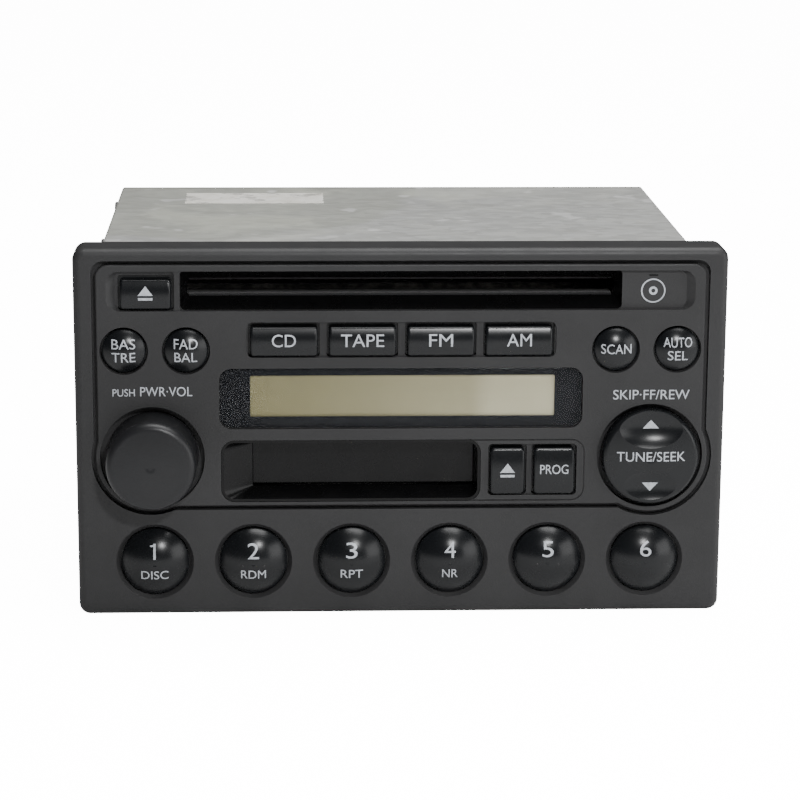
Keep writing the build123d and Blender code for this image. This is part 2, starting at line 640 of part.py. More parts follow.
def bottom_cover():
    half = CHASSIS_W / 2
    base = block(-half, half, CHASSIS_FRONT, CHASSIS_REAR, CHASSIS_BASE, CHASSIS_BASE + SHEET)
    for x in (-76, 76):
        for y in (CHASSIS_FRONT + 12, CHASSIS_REAR - 12):
            base = base + rod_z(x, y, 3.0, CHASSIS_BASE + SHEET, CHASSIS_BASE + MAIN_BOARD_LIFT)
    return base


def rear_plate():
    plate = block(-INNER_HALF, INNER_HALF, CHASSIS_REAR - SHEET, CHASSIS_REAR,
                  CHASSIS_BASE + SHEET, CHASSIS_TOP - SHEET)
    plate = plate - rod_y(*ANTENNA_PLACE, ANTENNA_R + ANTENNA_WALL + SEAT, 0, 900)
    x, z = HARNESS_PLACE
    plate = plate - block(x - HARNESS_W / 2 - SEAT, x + HARNESS_W / 2 + SEAT, 0, 900,
                          z - HARNESS_H / 2 - SEAT, z + HARNESS_H / 2 + SEAT)
    for i in range(9):
        plate = plate - prism(bar_outline(-30 + i * 5, CHASSIS_TOP - 28, 2.0, 16, 0.9), 0, 900)
    return plate




def heat_sink():
    """Finned block outside the rear plate, which the power amplifier bolts to from inside."""
    x0 = CHASSIS_W / 2 - HEAT_SINK_W - 10
    z0 = CHASSIS_BASE + MAIN_BOARD_LIFT + BOARD_T + 3
    z1 = z0 + 56
    root = 3.0
    sink = block(x0, x0 + HEAT_SINK_W, CHASSIS_REAR, CHASSIS_REAR + root, z0, z1)
    fin = 2.0
    count = 9
    pitch = (HEAT_SINK_W - fin) / (count - 1)
    for i in range(count):
        x = x0 + i * pitch
        sink = sink + block(x, x + fin, CHASSIS_REAR + root, CHASSIS_REAR + HEAT_SINK_DEPTH, z0, z1)
    return sink


def main_circuit_board():
    z0 = CHASSIS_BASE + MAIN_BOARD_LIFT
    return block(-INNER_HALF + 3, INNER_HALF - 3, CHASSIS_FRONT + 4, CHASSIS_REAR - SHEET, z0, z0 + BOARD_T)


def board_components():
    """Power amplifier against the rear plate, filter capacitors, a processor and a transformer block."""
    z0 = CHASSIS_BASE + MAIN_BOARD_LIFT + BOARD_T
    rear = CHASSIS_REAR - SHEET
    pieces = [block(30, 62, rear - 5, rear, z0, z0 + 22)]
    for x in (14, 24):
        pieces.append(rod_z(x, rear - 12, 4.0, z0, z0 + 14))
    pieces.append(rod_z(70, rear - 14, 6.5, z0, z0 + 12))
    pieces.append(block(-10, 10, 30, 50, z0, z0 + 2.4))
    pieces.append(block(-60, -46, 30, 44, z0, z0 + 2.4))
    pieces.append(block(40, 52, 24, 40, z0, z0 + 2.4))
    return Part() + pieces


def tuner_module():
    """Screened tin box that carries the antenna socket."""
    z0 = CHASSIS_BASE + MAIN_BOARD_LIFT + BOARD_T
    x = ANTENNA_PLACE[0]
    rear = CHASSIS_REAR - SHEET - 1
    return block(x - 13, x + 13, rear - 42, rear, z0, z0 + 15)


def antenna_socket():
    x, z = ANTENNA_PLACE
    y0 = CHASSIS_REAR - SHEET - 1
    y1 = y0 + ANTENNA_LENGTH
    sleeve = rod_y(x, z, ANTENNA_R + ANTENNA_WALL, y0, y1)
    return sleeve - rod_y(x, z, ANTENNA_R, y0 + 1.0, y1 + 1)


def harness_connector():
    x, z = HARNESS_PLACE
    y0 = CHASSIS_REAR - 8
    y1 = CHASSIS_REAR + 6
    wall = 1.4
    shroud = block(x - HARNESS_W / 2, x + HARNESS_W / 2, y0, y1, z - HARNESS_H / 2, z + HARNESS_H / 2)
    shroud = shroud - block(x - HARNESS_W / 2 + wall, x + HARNESS_W / 2 - wall, y0 + 2, y1 + 1,
                            z - HARNESS_H / 2 + wall, z + HARNESS_H / 2 - wall)
    for i in range(8):
        for row in (-2.6, 2.6):
            px = x + (i - 3.5) * 4.4
            shroud = shroud + block(px - 0.5, px + 0.5, y0 + 1.9, y0 + 5, z + row - 0.5, z + row + 0.5)
    return shroud


def cover_screws():
    """Four pan-head screws that hold the top cover's flanges."""
    half = CHASSIS_W / 2
    z = CHASSIS_TOP - 4.4
    screws = []
    for side in (-1, 1):
        for y in cover_screw_places():
            head = rod_x(half, half + 1.3, y, z, 2.7)
            head = fillet(head.faces().sort_by(Axis.X)[-1].edges(), 0.6)
            head = head - block(half + 0.8, half + 2, y - 0.35, y + 0.35, z - 1.6, z + 1.6)
            head = head - block(half + 0.8, half + 2, y - 1.6, y + 1.6, z - 0.35, z + 0.35)
            screw = head + rod_x(half - 4.5, half, y, z, 1.2)
            screws.append(screw if side > 0 else screw.mirror(Plane.YZ))
    return Part() + screws


# ---------------------------------------------------------------- disc mechanism
def cd_deck():
    """Sheet tray between the side plates, with cheeks for the roller, the clamp and the screw."""
    plate = block(-INNER_HALF, INNER_HALF, 16, CHASSIS_REAR - 1.6, CD_DECK_Z - DECK_T, CD_DECK_Z)
    plate = plate - rod_z(0, DISC_Y, 17, 0, 900)
    plate = plate - block(0, SLED_START + SLED_TRAVEL + 11, DISC_Y - 17, DISC_Y + 17, 0, 900)
    for side in (-1, 1):
        x = side * 69.0
        cheek = block(x - 0.6, x + 0.6, 13.5, 22, CD_DECK_Z - DECK_T, SLOT_Z - 0.6)
        cheek = cheek + block(x - 0.6, x + 0.6, 15.9, 22, CD_DECK_Z - DECK_T - 1, CD_DECK_Z)
        plate = plate + cheek
    ears_z = (CD_DECK_Z, SLOT_Z + 5.5)
    for side in (-1, 1):
        x = side * 16.0
        plate = plate + block(x - 0.6, x + 0.6, CHASSIS_REAR - 8.4, CHASSIS_REAR - 1.6, *ears_z)
    plate = plate - rod_x(-80, 80, ROLLER_Y, ROLLER_Z, SCREW_R + RUN)
    plate = plate - rod_x(-80, 80, CLAMP_PIVOT_Y, CLAMP_PIVOT_Z, SCREW_R + RUN)
    # two brackets under the plate hold the lead screw and the guide rod
    for x in (SLED_START - 15.5, SLED_START + SLED_TRAVEL + 13.5):
        bracket = block(x - 0.6, x + 0.6, DISC_Y - 19, DISC_Y + 19, SCREW_Z - 3.5, CD_DECK_Z - DECK_T)
        plate = plate + (bracket - rod_z(0, DISC_Y, 20, 0, 900))
    plate = plate - rod_x(0, 90, DISC_Y + SCREW_DY, SCREW_Z, SCREW_R + RUN)
    guide = rod_x(SLED_START - 16.1, SLED_START + SLED_TRAVEL + 14.1, DISC_Y - SCREW_DY, SCREW_Z, SCREW_R)
    return plate + guide




def cd_turntable():
    """Spindle motor's rotor: the disc seat, its centring cone and the shaft."""
    top = SLOT_Z - DISC_CLEAR - 0.1
    seat = rod_z(0, DISC_Y, 14, top - 1.6, top - 0.8)
    hub = rod_z(0, DISC_Y, 7.4, top - 0.8, top)
    hub = fillet(hub.faces().sort_by(Axis.Z)[-1].edges(), 0.5)
    return seat + hub + rod_z(0, DISC_Y, 11, top - 9.5, top - 1.6)


def cd_laser_sled():
    """Optical pick-up: body, objective lens, and the two bearings on the screw and the rod."""
    top = SLOT_Z - DISC_CLEAR - 0.1
    x = SLED_START
    body = block(x - 8, x + 8, DISC_Y - 9.5, DISC_Y + 9.5, SCREW_Z - 3, CD_DECK_Z - 0.4)
    y0 = DISC_Y - SCREW_DY - 3
    y1 = DISC_Y + SCREW_DY + 3
    body = body + block(x - 4.5, x + 4.5, y0, y1, SCREW_Z - 3, SCREW_Z + 2.8)
    body = body + rod_z(x, DISC_Y, 5.0, CD_DECK_Z - 0.4, top - 1.4)
    body = body + rod_z(x, DISC_Y, 2.2, top - 1.4, top - 0.9)
    body = body - rod_x(x - 20, x + 20, DISC_Y + SCREW_DY, SCREW_Z, SCREW_R + RUN)
    return body - rod_x(x - 20, x + 20, DISC_Y - SCREW_DY, SCREW_Z, SCREW_R + RUN)


def cd_lead_screw():
    x0 = SLED_START - 17
    x1 = SLED_START + SLED_TRAVEL + 18
    screw = rod_x(x0, x1, DISC_Y + SCREW_DY, SCREW_Z, SCREW_R)
    return screw + rod_x(x1 - 2.5, x1, DISC_Y + SCREW_DY, SCREW_Z, 2.7)


def cd_loading_roller():
    roller = rod_x(-64, 64, ROLLER_Y, ROLLER_Z, ROLLER_R)
    return roller + rod_x(-70.5, 70.5, ROLLER_Y, ROLLER_Z, SCREW_R)


def cd_clamp_arm():
    """Arm over the disc, hinged at the rear, with the clamping puck under its front end."""
    z0 = SLOT_Z + 4.3
    arm = block(-15, 15, CLAMP_PIVOT_Y - 4, CLAMP_PIVOT_Y + 2, z0, z0 + 0.9)
    arm = arm + block(-9, 9, DISC_Y - 10, CLAMP_PIVOT_Y, z0, z0 + 0.9)
    barrel = rod_x(-15, 15, CLAMP_PIVOT_Y, CLAMP_PIVOT_Z, SCREW_R + 0.9)
    barrel = barrel + rod_x(-17.5, 17.5, CLAMP_PIVOT_Y, CLAMP_PIVOT_Z, SCREW_R)
    return arm + barrel + rod_z(0, DISC_Y, 12, SLOT_Z + DISC_CLEAR + 0.5, z0)


# ---------------------------------------------------------------- cassette mechanism
def hub_places():
    return [CASSETTE_MID_Y + s * HUB_PITCH / 2 for s in (-1, 1)]


def capstan_places():
    return [CASSETTE_MID_Y + s * CAPSTAN_PITCH / 2 for s in (-1, 1)]


def tape_deck():
    """Deck plate between the side plates, with bearings for the hubs and the capstans."""
    z1 = TAPE_FLOOR_Z
    z0 = z1 - DECK_T
    plate = block(-INNER_HALF, INNER_HALF, 20, HOLDER_Y1 + 14, z0, z1)
    for side in (-1, 1):
        x = side * (INNER_HALF - DECK_T / 2)
        plate = plate + block(x - DECK_T / 2, x + DECK_T / 2, 20, HOLDER_Y1 + 14, z1, z1 + 7)
    for y in hub_places():
        plate = plate - rod_z(HUB_X, y, 1.5 + RUN, 0, 90)
    for y in capstan_places():
        plate = plate + rod_z(CAPSTAN_X, y, 3.2, z1, z1 + 1.0)
        plate = plate - rod_z(CAPSTAN_X, y, CAPSTAN_R + RUN, 0, 90)
    return plate


def reel_hub(y):
    """Spindle with a base disc, three drive splines and a pivot pin through the deck plate."""
    z = TAPE_FLOOR_Z
    hub = rod_z(HUB_X, y, 8.0, z + 0.1, z + 1.2) + rod_z(HUB_X, y, 2.6, z + 1.2, HOLDER_Z - 0.8)
    for i in range(3):
        spline = Pos(3.0, 0, (z + 1.2 + HOLDER_Z - 1.6) / 2) * Box(1.8, 1.0, HOLDER_Z - 2.8 - z)
        hub = hub + Pos(HUB_X, y, 0) * Rot(0, 0, 120 * i) * spline
    return hub + rod_z(HUB_X, y, 1.5, z - DECK_T - 0.6, z + 0.1)


def tape_flywheel(y):
    z1 = TAPE_FLOOR_Z - DECK_T - 0.4
    wheel = rod_z(CAPSTAN_X, y, FLYWHEEL_R, z1 - FLYWHEEL_T, z1)
    wheel = wheel - rod_z(CAPSTAN_X, y, FLYWHEEL_R - 2.5, z1 - 1.6, z1 + 1)
    wheel = wheel + rod_z(CAPSTAN_X, y, 4, z1 - 1.7, z1)
    return wheel + rod_z(CAPSTAN_X, y, CAPSTAN_R, z1 - FLYWHEEL_T, HOLDER_Z + 0.6)


def tape_head_carrier():
    """Sliding plate with the play head and the two pinch rollers, drawn back from the cassette."""
    x0 = PASSAGE_X1 + 3.6
    z0 = TAPE_FLOOR_Z + 1.3
    plate = block(x0, x0 + 26, CASSETTE_MID_Y - 40, CASSETTE_MID_Y + 40, z0, z0 + 1.0)
    head = block(x0, x0 + 11, CASSETTE_MID_Y - 7, CASSETTE_MID_Y + 7, z0 + 1, z0 + 12)
    for y in capstan_places():
        plate = plate + rod_z(x0 + 3.4, y, 3.0, z0 + 1, z0 + 10)
    return plate + head


def tape_cassette_holder():
    """Channel that takes the cassette and carries it down on to the hubs."""
    x0 = PASSAGE_X0 - 1.1
    x1 = PASSAGE_X1 + 1.1
    z1 = PASSAGE_Z1 + HOLDER_T
    tray = block(x0, x1, HOLDER_Y0, HOLDER_Y1, HOLDER_Z, z1)
    inner_y1 = HOLDER_Y1 - HOLDER_T
    inner_z0 = HOLDER_Z + HOLDER_T
    tray = tray - block(x0 + HOLDER_T, x1 + 1, HOLDER_Y0 - 1, inner_y1, inner_z0, z1 - HOLDER_T)
    tray = tray - block(x0 + 8, x1 - 10, HOLDER_Y0 - 1, HOLDER_Y1 - 9, z1 - 4, z1 + 1)
    tray = tray - block(HUB_X - 10, HUB_X + 10, HOLDER_Y0 + 4, HOLDER_Y1 - 12, HOLDER_Z - 1, HOLDER_Z + 2)
    return tray - block(CAPSTAN_X - 4, x1 + 1, HOLDER_Y0 - 1, HOLDER_Y1 - 10.5, HOLDER_Z - 1, HOLDER_Z + 2)


def tape_motor():
    """Motor can standing on the deck plate, with its boss through the plate."""
    can = rod_z(MOTOR_X, MOTOR_Y, 12, TAPE_FLOOR_Z, TAPE_FLOOR_Z + 22)
    return fillet(can.faces().sort_by(Axis.Z)[-1].edges(), 1.5)


def tape_motor_pulley():
    return rod_z(MOTOR_X, MOTOR_Y, PULLEY_R, BELT_Z - 1.0, BELT_Z + 3.2)


def tape_drive_belt():
    """Flat belt round the motor pulley and both flywheels."""
    gap = 0.15
    t = 0.8
    rear_y = capstan_places()[1]
    front_y = capstan_places()[0]
    spots = [
        Pos(MOTOR_X, MOTOR_Y) * Circle(PULLEY_R + gap),
        Pos(CAPSTAN_X, front_y) * Circle(FLYWHEEL_R + gap),
        Pos(CAPSTAN_X, rear_y) * Circle(FLYWHEEL_R + gap),
    ]
    rims = [edge for spot in spots for edge in spot.edges()]
    inner = make_hull(rims)
    belt = offset(inner, t) - inner
    return Pos(0, 0, BELT_Z) * extrude(belt, 1.6)


# ---------------------------------------------------------------- the whole radio
def main():
    os.makedirs("parts", exist_ok=True)
    save("front_frame", front_frame())
    save("centre_panel", centre_panel())
    save("display_lens", display_lens())
    save("lcd_panel", lcd_panel())
    save("disc_slot_funnel", disc_slot_funnel())
    save("disc_slot_felts", disc_slot_felts())
    save("tape_surround", tape_surround())
    save("tape_door", tape_door())
    save("cd_eject_button", bar_button(EJECT_X, SLOT_Z - 0.5, EJECT_W, EJECT_H, 0.6, 0.6))
    for name, x in bar_places():
        save(name, bar_button(x, BAR_Z, BAR_W, BAR_H, 1.4, 0.6))
    for name, x in round_places():
        save(name, round_button(x, ROW_Z, ROUND_R, ROUND_RISE))
    save("tape_eject_button", bar_button(TAPE_EJECT_X, TAPE_BUTTON_Z, TAPE_EJECT_W, TAPE_BUTTON_H, 1.4, 1.0))
    save("program_button", bar_button(PROGRAM_X, TAPE_BUTTON_Z, PROGRAM_W, TAPE_BUTTON_H, 1.4, 1.0))
    for i, x in enumerate(preset_places()):
        save(f"preset_button_{i + 1}", round_button(x, PRESET_Z, PRESET_R, PRESET_RISE))
    save("volume_knob", volume_knob())
    save("volume_shaft", volume_shaft())
    save("volume_encoder", volume_encoder())
    save("tune_seek_rocker", tune_seek_rocker())
    save("front_circuit_board", front_circuit_board())
    save("front_board_components", front_board_components())
    save("front_back_shell", front_back_shell())
    save("side_plate_left", side_plate(-1))
    save("side_plate_right", side_plate(1))
    save("top_cover", top_cover())
    save("bottom_cover", bottom_cover())
    save("rear_plate", rear_plate())
    save("heat_sink", heat_sink())
    save("main_circuit_board", main_circuit_board())
    save("board_components", board_components())
    save("tuner_module", tuner_module())
    save("antenna_socket", antenna_socket())
    save("harness_connector", harness_connector())
    save("cover_screws", cover_screws())
    save("cd_deck", cd_deck())
    save("cd_turntable", cd_turntable())
    save("cd_laser_sled", cd_laser_sled())
    save("cd_lead_screw", cd_lead_screw())
    save("cd_loading_roller", cd_loading_roller())
    save("cd_clamp_arm", cd_clamp_arm())
    save("tape_deck", tape_deck())
    save("tape_reel_hub_supply", reel_hub(hub_places()[0]))
    save("tape_reel_hub_takeup", reel_hub(hub_places()[1]))
    save("tape_flywheel_forward", tape_flywheel(capstan_places()[0]))
    save("tape_flywheel_reverse", tape_flywheel(capstan_places()[1]))
    save("tape_head_carrier", tape_head_carrier())
    save("tape_cassette_holder", tape_cassette_holder())
    save("tape_motor", tape_motor())
    save("tape_motor_pulley", tape_motor_pulley())
    save("tape_drive_belt", tape_drive_belt())


main()
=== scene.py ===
"""Looks of a double-height car radio: a finish for every part of the frame, the printed legends, the
display's glass and its printed mask, and a worn blank label on the lid.

Metres, in the frame's own axes: +X is the viewer's right, -Y faces the driver and +Z is up.
"""
import json
import math
import random

import bpy
from mathutils import Matrix, Vector


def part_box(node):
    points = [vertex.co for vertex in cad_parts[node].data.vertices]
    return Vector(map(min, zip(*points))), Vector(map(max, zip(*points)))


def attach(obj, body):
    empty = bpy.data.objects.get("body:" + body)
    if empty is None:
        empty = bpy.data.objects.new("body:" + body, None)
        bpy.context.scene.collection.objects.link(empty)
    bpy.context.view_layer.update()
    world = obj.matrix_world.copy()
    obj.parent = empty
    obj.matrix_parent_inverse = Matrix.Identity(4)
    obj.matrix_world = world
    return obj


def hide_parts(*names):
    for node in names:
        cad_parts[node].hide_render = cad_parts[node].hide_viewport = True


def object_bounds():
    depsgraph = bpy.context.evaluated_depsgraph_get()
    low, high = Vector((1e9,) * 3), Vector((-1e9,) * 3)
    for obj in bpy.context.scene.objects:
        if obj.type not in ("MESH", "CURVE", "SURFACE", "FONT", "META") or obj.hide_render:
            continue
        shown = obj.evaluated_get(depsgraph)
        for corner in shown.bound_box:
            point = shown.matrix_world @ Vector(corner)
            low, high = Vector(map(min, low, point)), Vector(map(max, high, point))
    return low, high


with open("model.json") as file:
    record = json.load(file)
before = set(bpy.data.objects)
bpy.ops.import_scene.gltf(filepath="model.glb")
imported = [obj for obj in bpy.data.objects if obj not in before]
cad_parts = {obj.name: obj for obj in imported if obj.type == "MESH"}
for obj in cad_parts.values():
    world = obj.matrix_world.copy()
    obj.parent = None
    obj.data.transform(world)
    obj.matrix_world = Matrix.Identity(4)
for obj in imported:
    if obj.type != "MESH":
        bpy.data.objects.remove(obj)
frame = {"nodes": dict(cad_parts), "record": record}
cad_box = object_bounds()
nodes = frame["nodes"]

MM = 0.001
PRINT_LIFT = 0.03 * MM
PRINT_T = 0.02 * MM


# ---------------------------------------------------------------- places read from the frame
def low(node):
    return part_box(node)[0]


def high(node):
    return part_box(node)[1]


def middle(node):
    return (low(node) + high(node)) / 2


FACE_PLANE = low("front_frame").y
FACE_BOTTOM = low("front_frame").z
LID_LOW, LID_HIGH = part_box("top_cover")
LENS_LOW, LENS_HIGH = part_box("display_lens")
SLOT_END = high("disc_slot_felts").x
PRESETS = [f"preset_button_{i}" for i in range(1, 7)]


# ---------------------------------------------------------------- small modelling helpers
def deselect():
    bpy.ops.object.select_all(action="DESELECT")


def only(piece):
    deselect()
    piece.select_set(True)
    bpy.context.view_layer.objects.active = piece


def settle(piece):
    """Puts the piece's place, turn and size into its mesh."""
    only(piece)
    bpy.ops.object.transform_apply(location=True, rotation=True, scale=True)


def modify(piece, kind, **values):
    """Adds one modifier and applies it."""
    only(piece)
    modifier = piece.modifiers.new(kind.title(), kind)
    for key, value in values.items():
        setattr(modifier, key, value)
    bpy.ops.object.modifier_apply(modifier=modifier.name)


def edit(piece):
    only(piece)
    bpy.ops.object.mode_set(mode="EDIT")
    bpy.ops.mesh.select_all(action="SELECT")


def end_edit():
    bpy.ops.object.mode_set(mode="OBJECT")


def outwards(piece):
    edit(piece)
    bpy.ops.mesh.remove_doubles(threshold=1e-7)
    bpy.ops.mesh.normals_make_consistent(inside=False)
    end_edit()


def finish_piece(piece, name, body, material):
    piece.name = name
    piece.data.name = name
    piece.data.materials.clear()
    piece.data.materials.append(material)
    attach(piece, body)
    return piece


# ---------------------------------------------------------------- shader helpers
def add(tree, kind, settings=None, **inputs):
    """One shader node, with its settings and inputs; an input may be a value or another node's socket."""
    node = tree.nodes.new("ShaderNode" + kind)
    for key, value in (settings or {}).items():
        setattr(node, key, value)
    for key, value in inputs.items():
        place = int(key[1:]) if key[0] == "n" and key[1:].isdigit() else key.replace("_", " ")
        if isinstance(value, bpy.types.NodeSocket):
            tree.links.new(value, node.inputs[place])
        else:
            node.inputs[place].default_value = value
    return node


def maths(tree, operation, first, second=0.5, clamp=False):
    node = add(tree, "Math", {"operation": operation, "use_clamp": clamp}, n0=first, n1=second)
    return node.outputs[0]


def ramp(tree, value, low_at, high_at, low_out=0.0, high_out=1.0):
    node = add(tree, "MapRange", {"interpolation_type": "SMOOTHSTEP"}, Value=value, n1=low_at, n2=high_at,
               n3=low_out, n4=high_out)
    return node.outputs["Result"]


def blend_colour(tree, factor, first, second, kind="MIX"):
    node = add(tree, "Mix", {"data_type": "RGBA", "blend_type": kind}, n0=factor, n6=first, n7=second)
    return node.outputs[2]


def object_place(tree, stretch=(1, 1, 1), centre=(0, 0, 0), turn=(0, 0, 0)):
    """Object coordinates, moved to a centre, turned and stretched."""
    where = add(tree, "TexCoord").outputs["Object"]
    moved = add(tree, "VectorMath", {"operation": "SUBTRACT"}, n0=where, n1=centre).outputs[0]
    return add(tree, "Mapping", Vector=moved, Rotation=turn, Scale=stretch).outputs["Vector"]


def noise(tree, place, scale, detail=3.0, roughness=0.5, distortion=0.0):
    node = add(tree, "TexNoise", Vector=place, Scale=scale, Detail=detail, Roughness=roughness,
               Distortion=distortion)
    return node.outputs["Fac"]


def new_group(name, sockets):
    """An empty effect group: sockets is a list of (name, in or out, kind, value)."""
    group = bpy.data.node_groups.new(name, "ShaderNodeTree")
    for label, side, kind, value in sockets:
        made = group.interface.new_socket(name=label, in_out=side, socket_type="NodeSocket" + kind)
        if value is not None:
            made.default_value = value
    return group, group.nodes.new("NodeGroupInput").outputs, group.nodes.new("NodeGroupOutput").inputs


def moulded_grain():
    """The fine pebbled skin of moulded plastic, and a slow drift in tone."""
    group, into, out = new_group("moulded grain", [
        ("Size", "INPUT", "Float", 2600.0), ("Height", "OUTPUT", "Float", None),
        ("Tone", "OUTPUT", "Float", None)])
    place = object_place(group)
    pebbles = add(group, "TexVoronoi", {"feature": "SMOOTH_F1"}, Vector=place, Scale=into["Size"])
    coarse = maths(group, "MULTIPLY", pebbles.outputs["Distance"], 0.7)
    fine = maths(group, "MULTIPLY", noise(group, place, into["Size"], 2.0), 0.5)
    group.links.new(maths(group, "ADD", coarse, fine), out["Height"])
    group.links.new(noise(group, place, 32.0, 4.0, 0.6), out["Tone"])
    return group


def rubbed_edges():
    """Where corners are rubbed: the surface's own normal set against a rounded one."""
    group, into, out = new_group("rubbed edges", [
        ("Radius", "INPUT", "Float", 0.0006), ("Amount", "INPUT", "Float", 1.0),
        ("Mask", "OUTPUT", "Float", None)])
    rounded = add(group, "Bevel", {"samples": 6}, Radius=into["Radius"]).outputs[0]
    plain = add(group, "NewGeometry").outputs["Normal"]
    match = add(group, "VectorMath", {"operation": "DOT_PRODUCT"}, n0=rounded, n1=plain).outputs["Value"]
    turned = ramp(group, maths(group, "SUBTRACT", 1.0, match), 0.02, 0.25)
    broken = ramp(group, noise(group, object_place(group), 420.0, 4.0, 0.6), 0.3, 0.7, 0.35, 1.0)
    worn = maths(group, "MULTIPLY", turned, broken)
    group.links.new(maths(group, "MULTIPLY", worn, into["Amount"], True), out["Mask"])
    return group


def settled_dust():
    """Dust that lies on faces looking up and gathers in corners."""
    group, into, out = new_group("settled dust", [
        ("Amount", "INPUT", "Float", 0.3), ("Corner", "INPUT", "Float", 0.003),
        ("Mask", "OUTPUT", "Float", None)])
    facing = add(group, "TexCoord").outputs["Normal"]
    up = ramp(group, add(group, "SeparateXYZ", n0=facing).outputs["Z"], 0.3, 1.0)
    open_sky = add(group, "AmbientOcclusion", {"samples": 6}, Distance=into["Corner"]).outputs["AO"]
    corner = ramp(group, open_sky, 0.75, 0.25)
    patchy = ramp(group, noise(group, object_place(group), 160.0, 5.0, 0.65), 0.35, 0.75)
    both = maths(group, "ADD", up, maths(group, "MULTIPLY", corner, 0.6))
    lying = maths(group, "MULTIPLY", maths(group, "MULTIPLY", both, patchy), into["Amount"], True)
    group.links.new(lying, out["Mask"])
    return group


def fine_scratches():
    """Hair scratches in two directions."""
    group, into, out = new_group("fine scratches", [
        ("Scale", "INPUT", "Float", 90.0), ("Amount", "INPUT", "Float", 1.0),
        ("Mask", "OUTPUT", "Float", None)])
    lines = []
    for turn, seed in ((0.5, 0.0), (-0.9, 3.1)):
        place = object_place(group, (1.0, 1.0, 22.0), (seed, 0, 0), (turn, turn * 0.7, turn))
        streak = noise(group, place, into["Scale"], 2.0, 0.5)
        lines.append(ramp(group, streak, 0.68, 0.74))
    both = maths(group, "MAXIMUM", lines[0], lines[1])
    group.links.new(maths(group, "MULTIPLY", both, into["Amount"], True), out["Mask"])
    return group


def handling_smudges():
    """Finger marks: soft patches that dull or polish a surface."""
    group, into, out = new_group("handling smudges", [
        ("Scale", "INPUT", "Float", 110.0), ("Level", "INPUT", "Float", 0.2),
        ("Swing", "INPUT", "Float", 0.08), ("Roughness", "OUTPUT", "Float", None)])
    soft = noise(group, object_place(group), into["Scale"], 3.0, 0.55, 0.6)
    reach = maths(group, "MULTIPLY", into["Swing"], 4.0)
    swing = maths(group, "MULTIPLY", maths(group, "SUBTRACT", soft, 0.5), reach)
    group.links.new(maths(group, "ADD", into["Level"], swing, True), out["Roughness"])
    return group


GRAIN = moulded_grain()
EDGES = rubbed_edges()
DUST = settled_dust()
SCRATCHES = fine_scratches()
SMUDGES = handling_smudges()


def effect(tree, group, **values):
    node = tree.nodes.new("ShaderNodeGroup")
    node.node_tree = group
    for key, value in values.items():
        node.inputs[key].default_value = value
    return node.outputs


def new_material(name):
    """A material with its Principled shader still at its defaults."""
    material = bpy.data.materials.new(name)
    material.use_nodes = True
    tree = material.node_tree
    return material, tree, tree.nodes["Principled BSDF"]


def bump(tree, shader, height, distance, strength=1.0):
    node = add(tree, "Bump", Height=height, Distance=distance, Strength=strength)
    tree.links.new(node.outputs["Normal"], shader.inputs["Normal"])


def join(tree, socket, shader, name):
    tree.links.new(socket, shader.inputs[name])


# ---------------------------------------------------------------- plastics
def moulded_plastic(name, colour, worn, level, swing, grain_size, grain_depth, edge_radius, edge_amount, dust,
                    specular=0.5, smudge_scale=110.0):
    """Coloured plastic with its moulded grain, rubbed edges, finger marks and a little dust."""
    material, tree, shader = new_material(name)
    grain = effect(tree, GRAIN, Size=grain_size)
    edges = effect(tree, EDGES, Radius=edge_radius, Amount=edge_amount)
    dusty = effect(tree, DUST, Amount=dust)
    marks = effect(tree, SMUDGES, Scale=smudge_scale, Level=level, Swing=swing)
    deep = [c * 0.86 for c in colour[:3]] + [1.0]
    body = blend_colour(tree, ramp(tree, grain["Tone"], 0.35, 0.65), deep, colour)
    rubbed = blend_colour(tree, edges["Mask"], body, worn)
    dusted = blend_colour(tree, dusty["Mask"], rubbed, (0.30, 0.285, 0.26, 1))
    join(tree, dusted, shader, "Base Color")
    dull = maths(tree, "ADD", marks["Roughness"], maths(tree, "MULTIPLY", dusty["Mask"], 0.5), True)
    join(tree, dull, shader, "Roughness")
    shader.inputs["Specular IOR Level"].default_value = specular
    bump(tree, shader, grain["Height"], grain_depth)
    return material


def face_plastic():
    return moulded_plastic("face_plastic", colour=(0.0215, 0.0215, 0.0222, 1),
                           worn=(0.052, 0.052, 0.053, 1), level=0.47, swing=0.05, grain_size=2600.0,
                           grain_depth=0.03 * MM, edge_radius=0.45 * MM, edge_amount=0.5, dust=0.015,
                           specular=0.22)


def button_gloss():
    return moulded_plastic("button_gloss", colour=(0.0042, 0.0048, 0.0056, 1), worn=(0.02, 0.022, 0.024, 1),
                           level=0.27, swing=0.03, grain_size=3600.0, grain_depth=0.004 * MM,
                           edge_radius=0.35 * MM, edge_amount=0.35, dust=0.01, specular=0.26)


def knob_satin():
    return moulded_plastic("knob_satin", colour=(0.0090, 0.0093, 0.0103, 1), worn=(0.028, 0.028, 0.030, 1),
                           level=0.36, swing=0.04, grain_size=3000.0, grain_depth=0.018 * MM,
                           edge_radius=0.5 * MM, edge_amount=0.35, dust=0.01, specular=0.26)


def black_lining():
    return moulded_plastic("black_lining", colour=(0.0022, 0.0022, 0.0024, 1),
                           worn=(0.008, 0.008, 0.009, 1), level=0.28, swing=0.05, grain_size=1800.0,
                           grain_depth=0.010 * MM, edge_radius=0.4 * MM, edge_amount=0.4, dust=0.004,
                           specular=0.16)


def black_moulding():
    return moulded_plastic("black_moulding", colour=(0.017, 0.017, 0.018, 1), worn=(0.045, 0.045, 0.046, 1),
                           level=0.46, swing=0.06, grain_size=2200.0, grain_depth=0.03 * MM,
                           edge_radius=0.5 * MM, edge_amount=0.5, dust=0.12)


def black_components():
    return moulded_plastic("black_components", colour=(0.022, 0.022, 0.024, 1), worn=(0.06, 0.06, 0.06, 1),
                           level=0.42, swing=0.08, grain_size=3000.0, grain_depth=0.02 * MM,
                           edge_radius=0.3 * MM, edge_amount=0.5, dust=0.3)


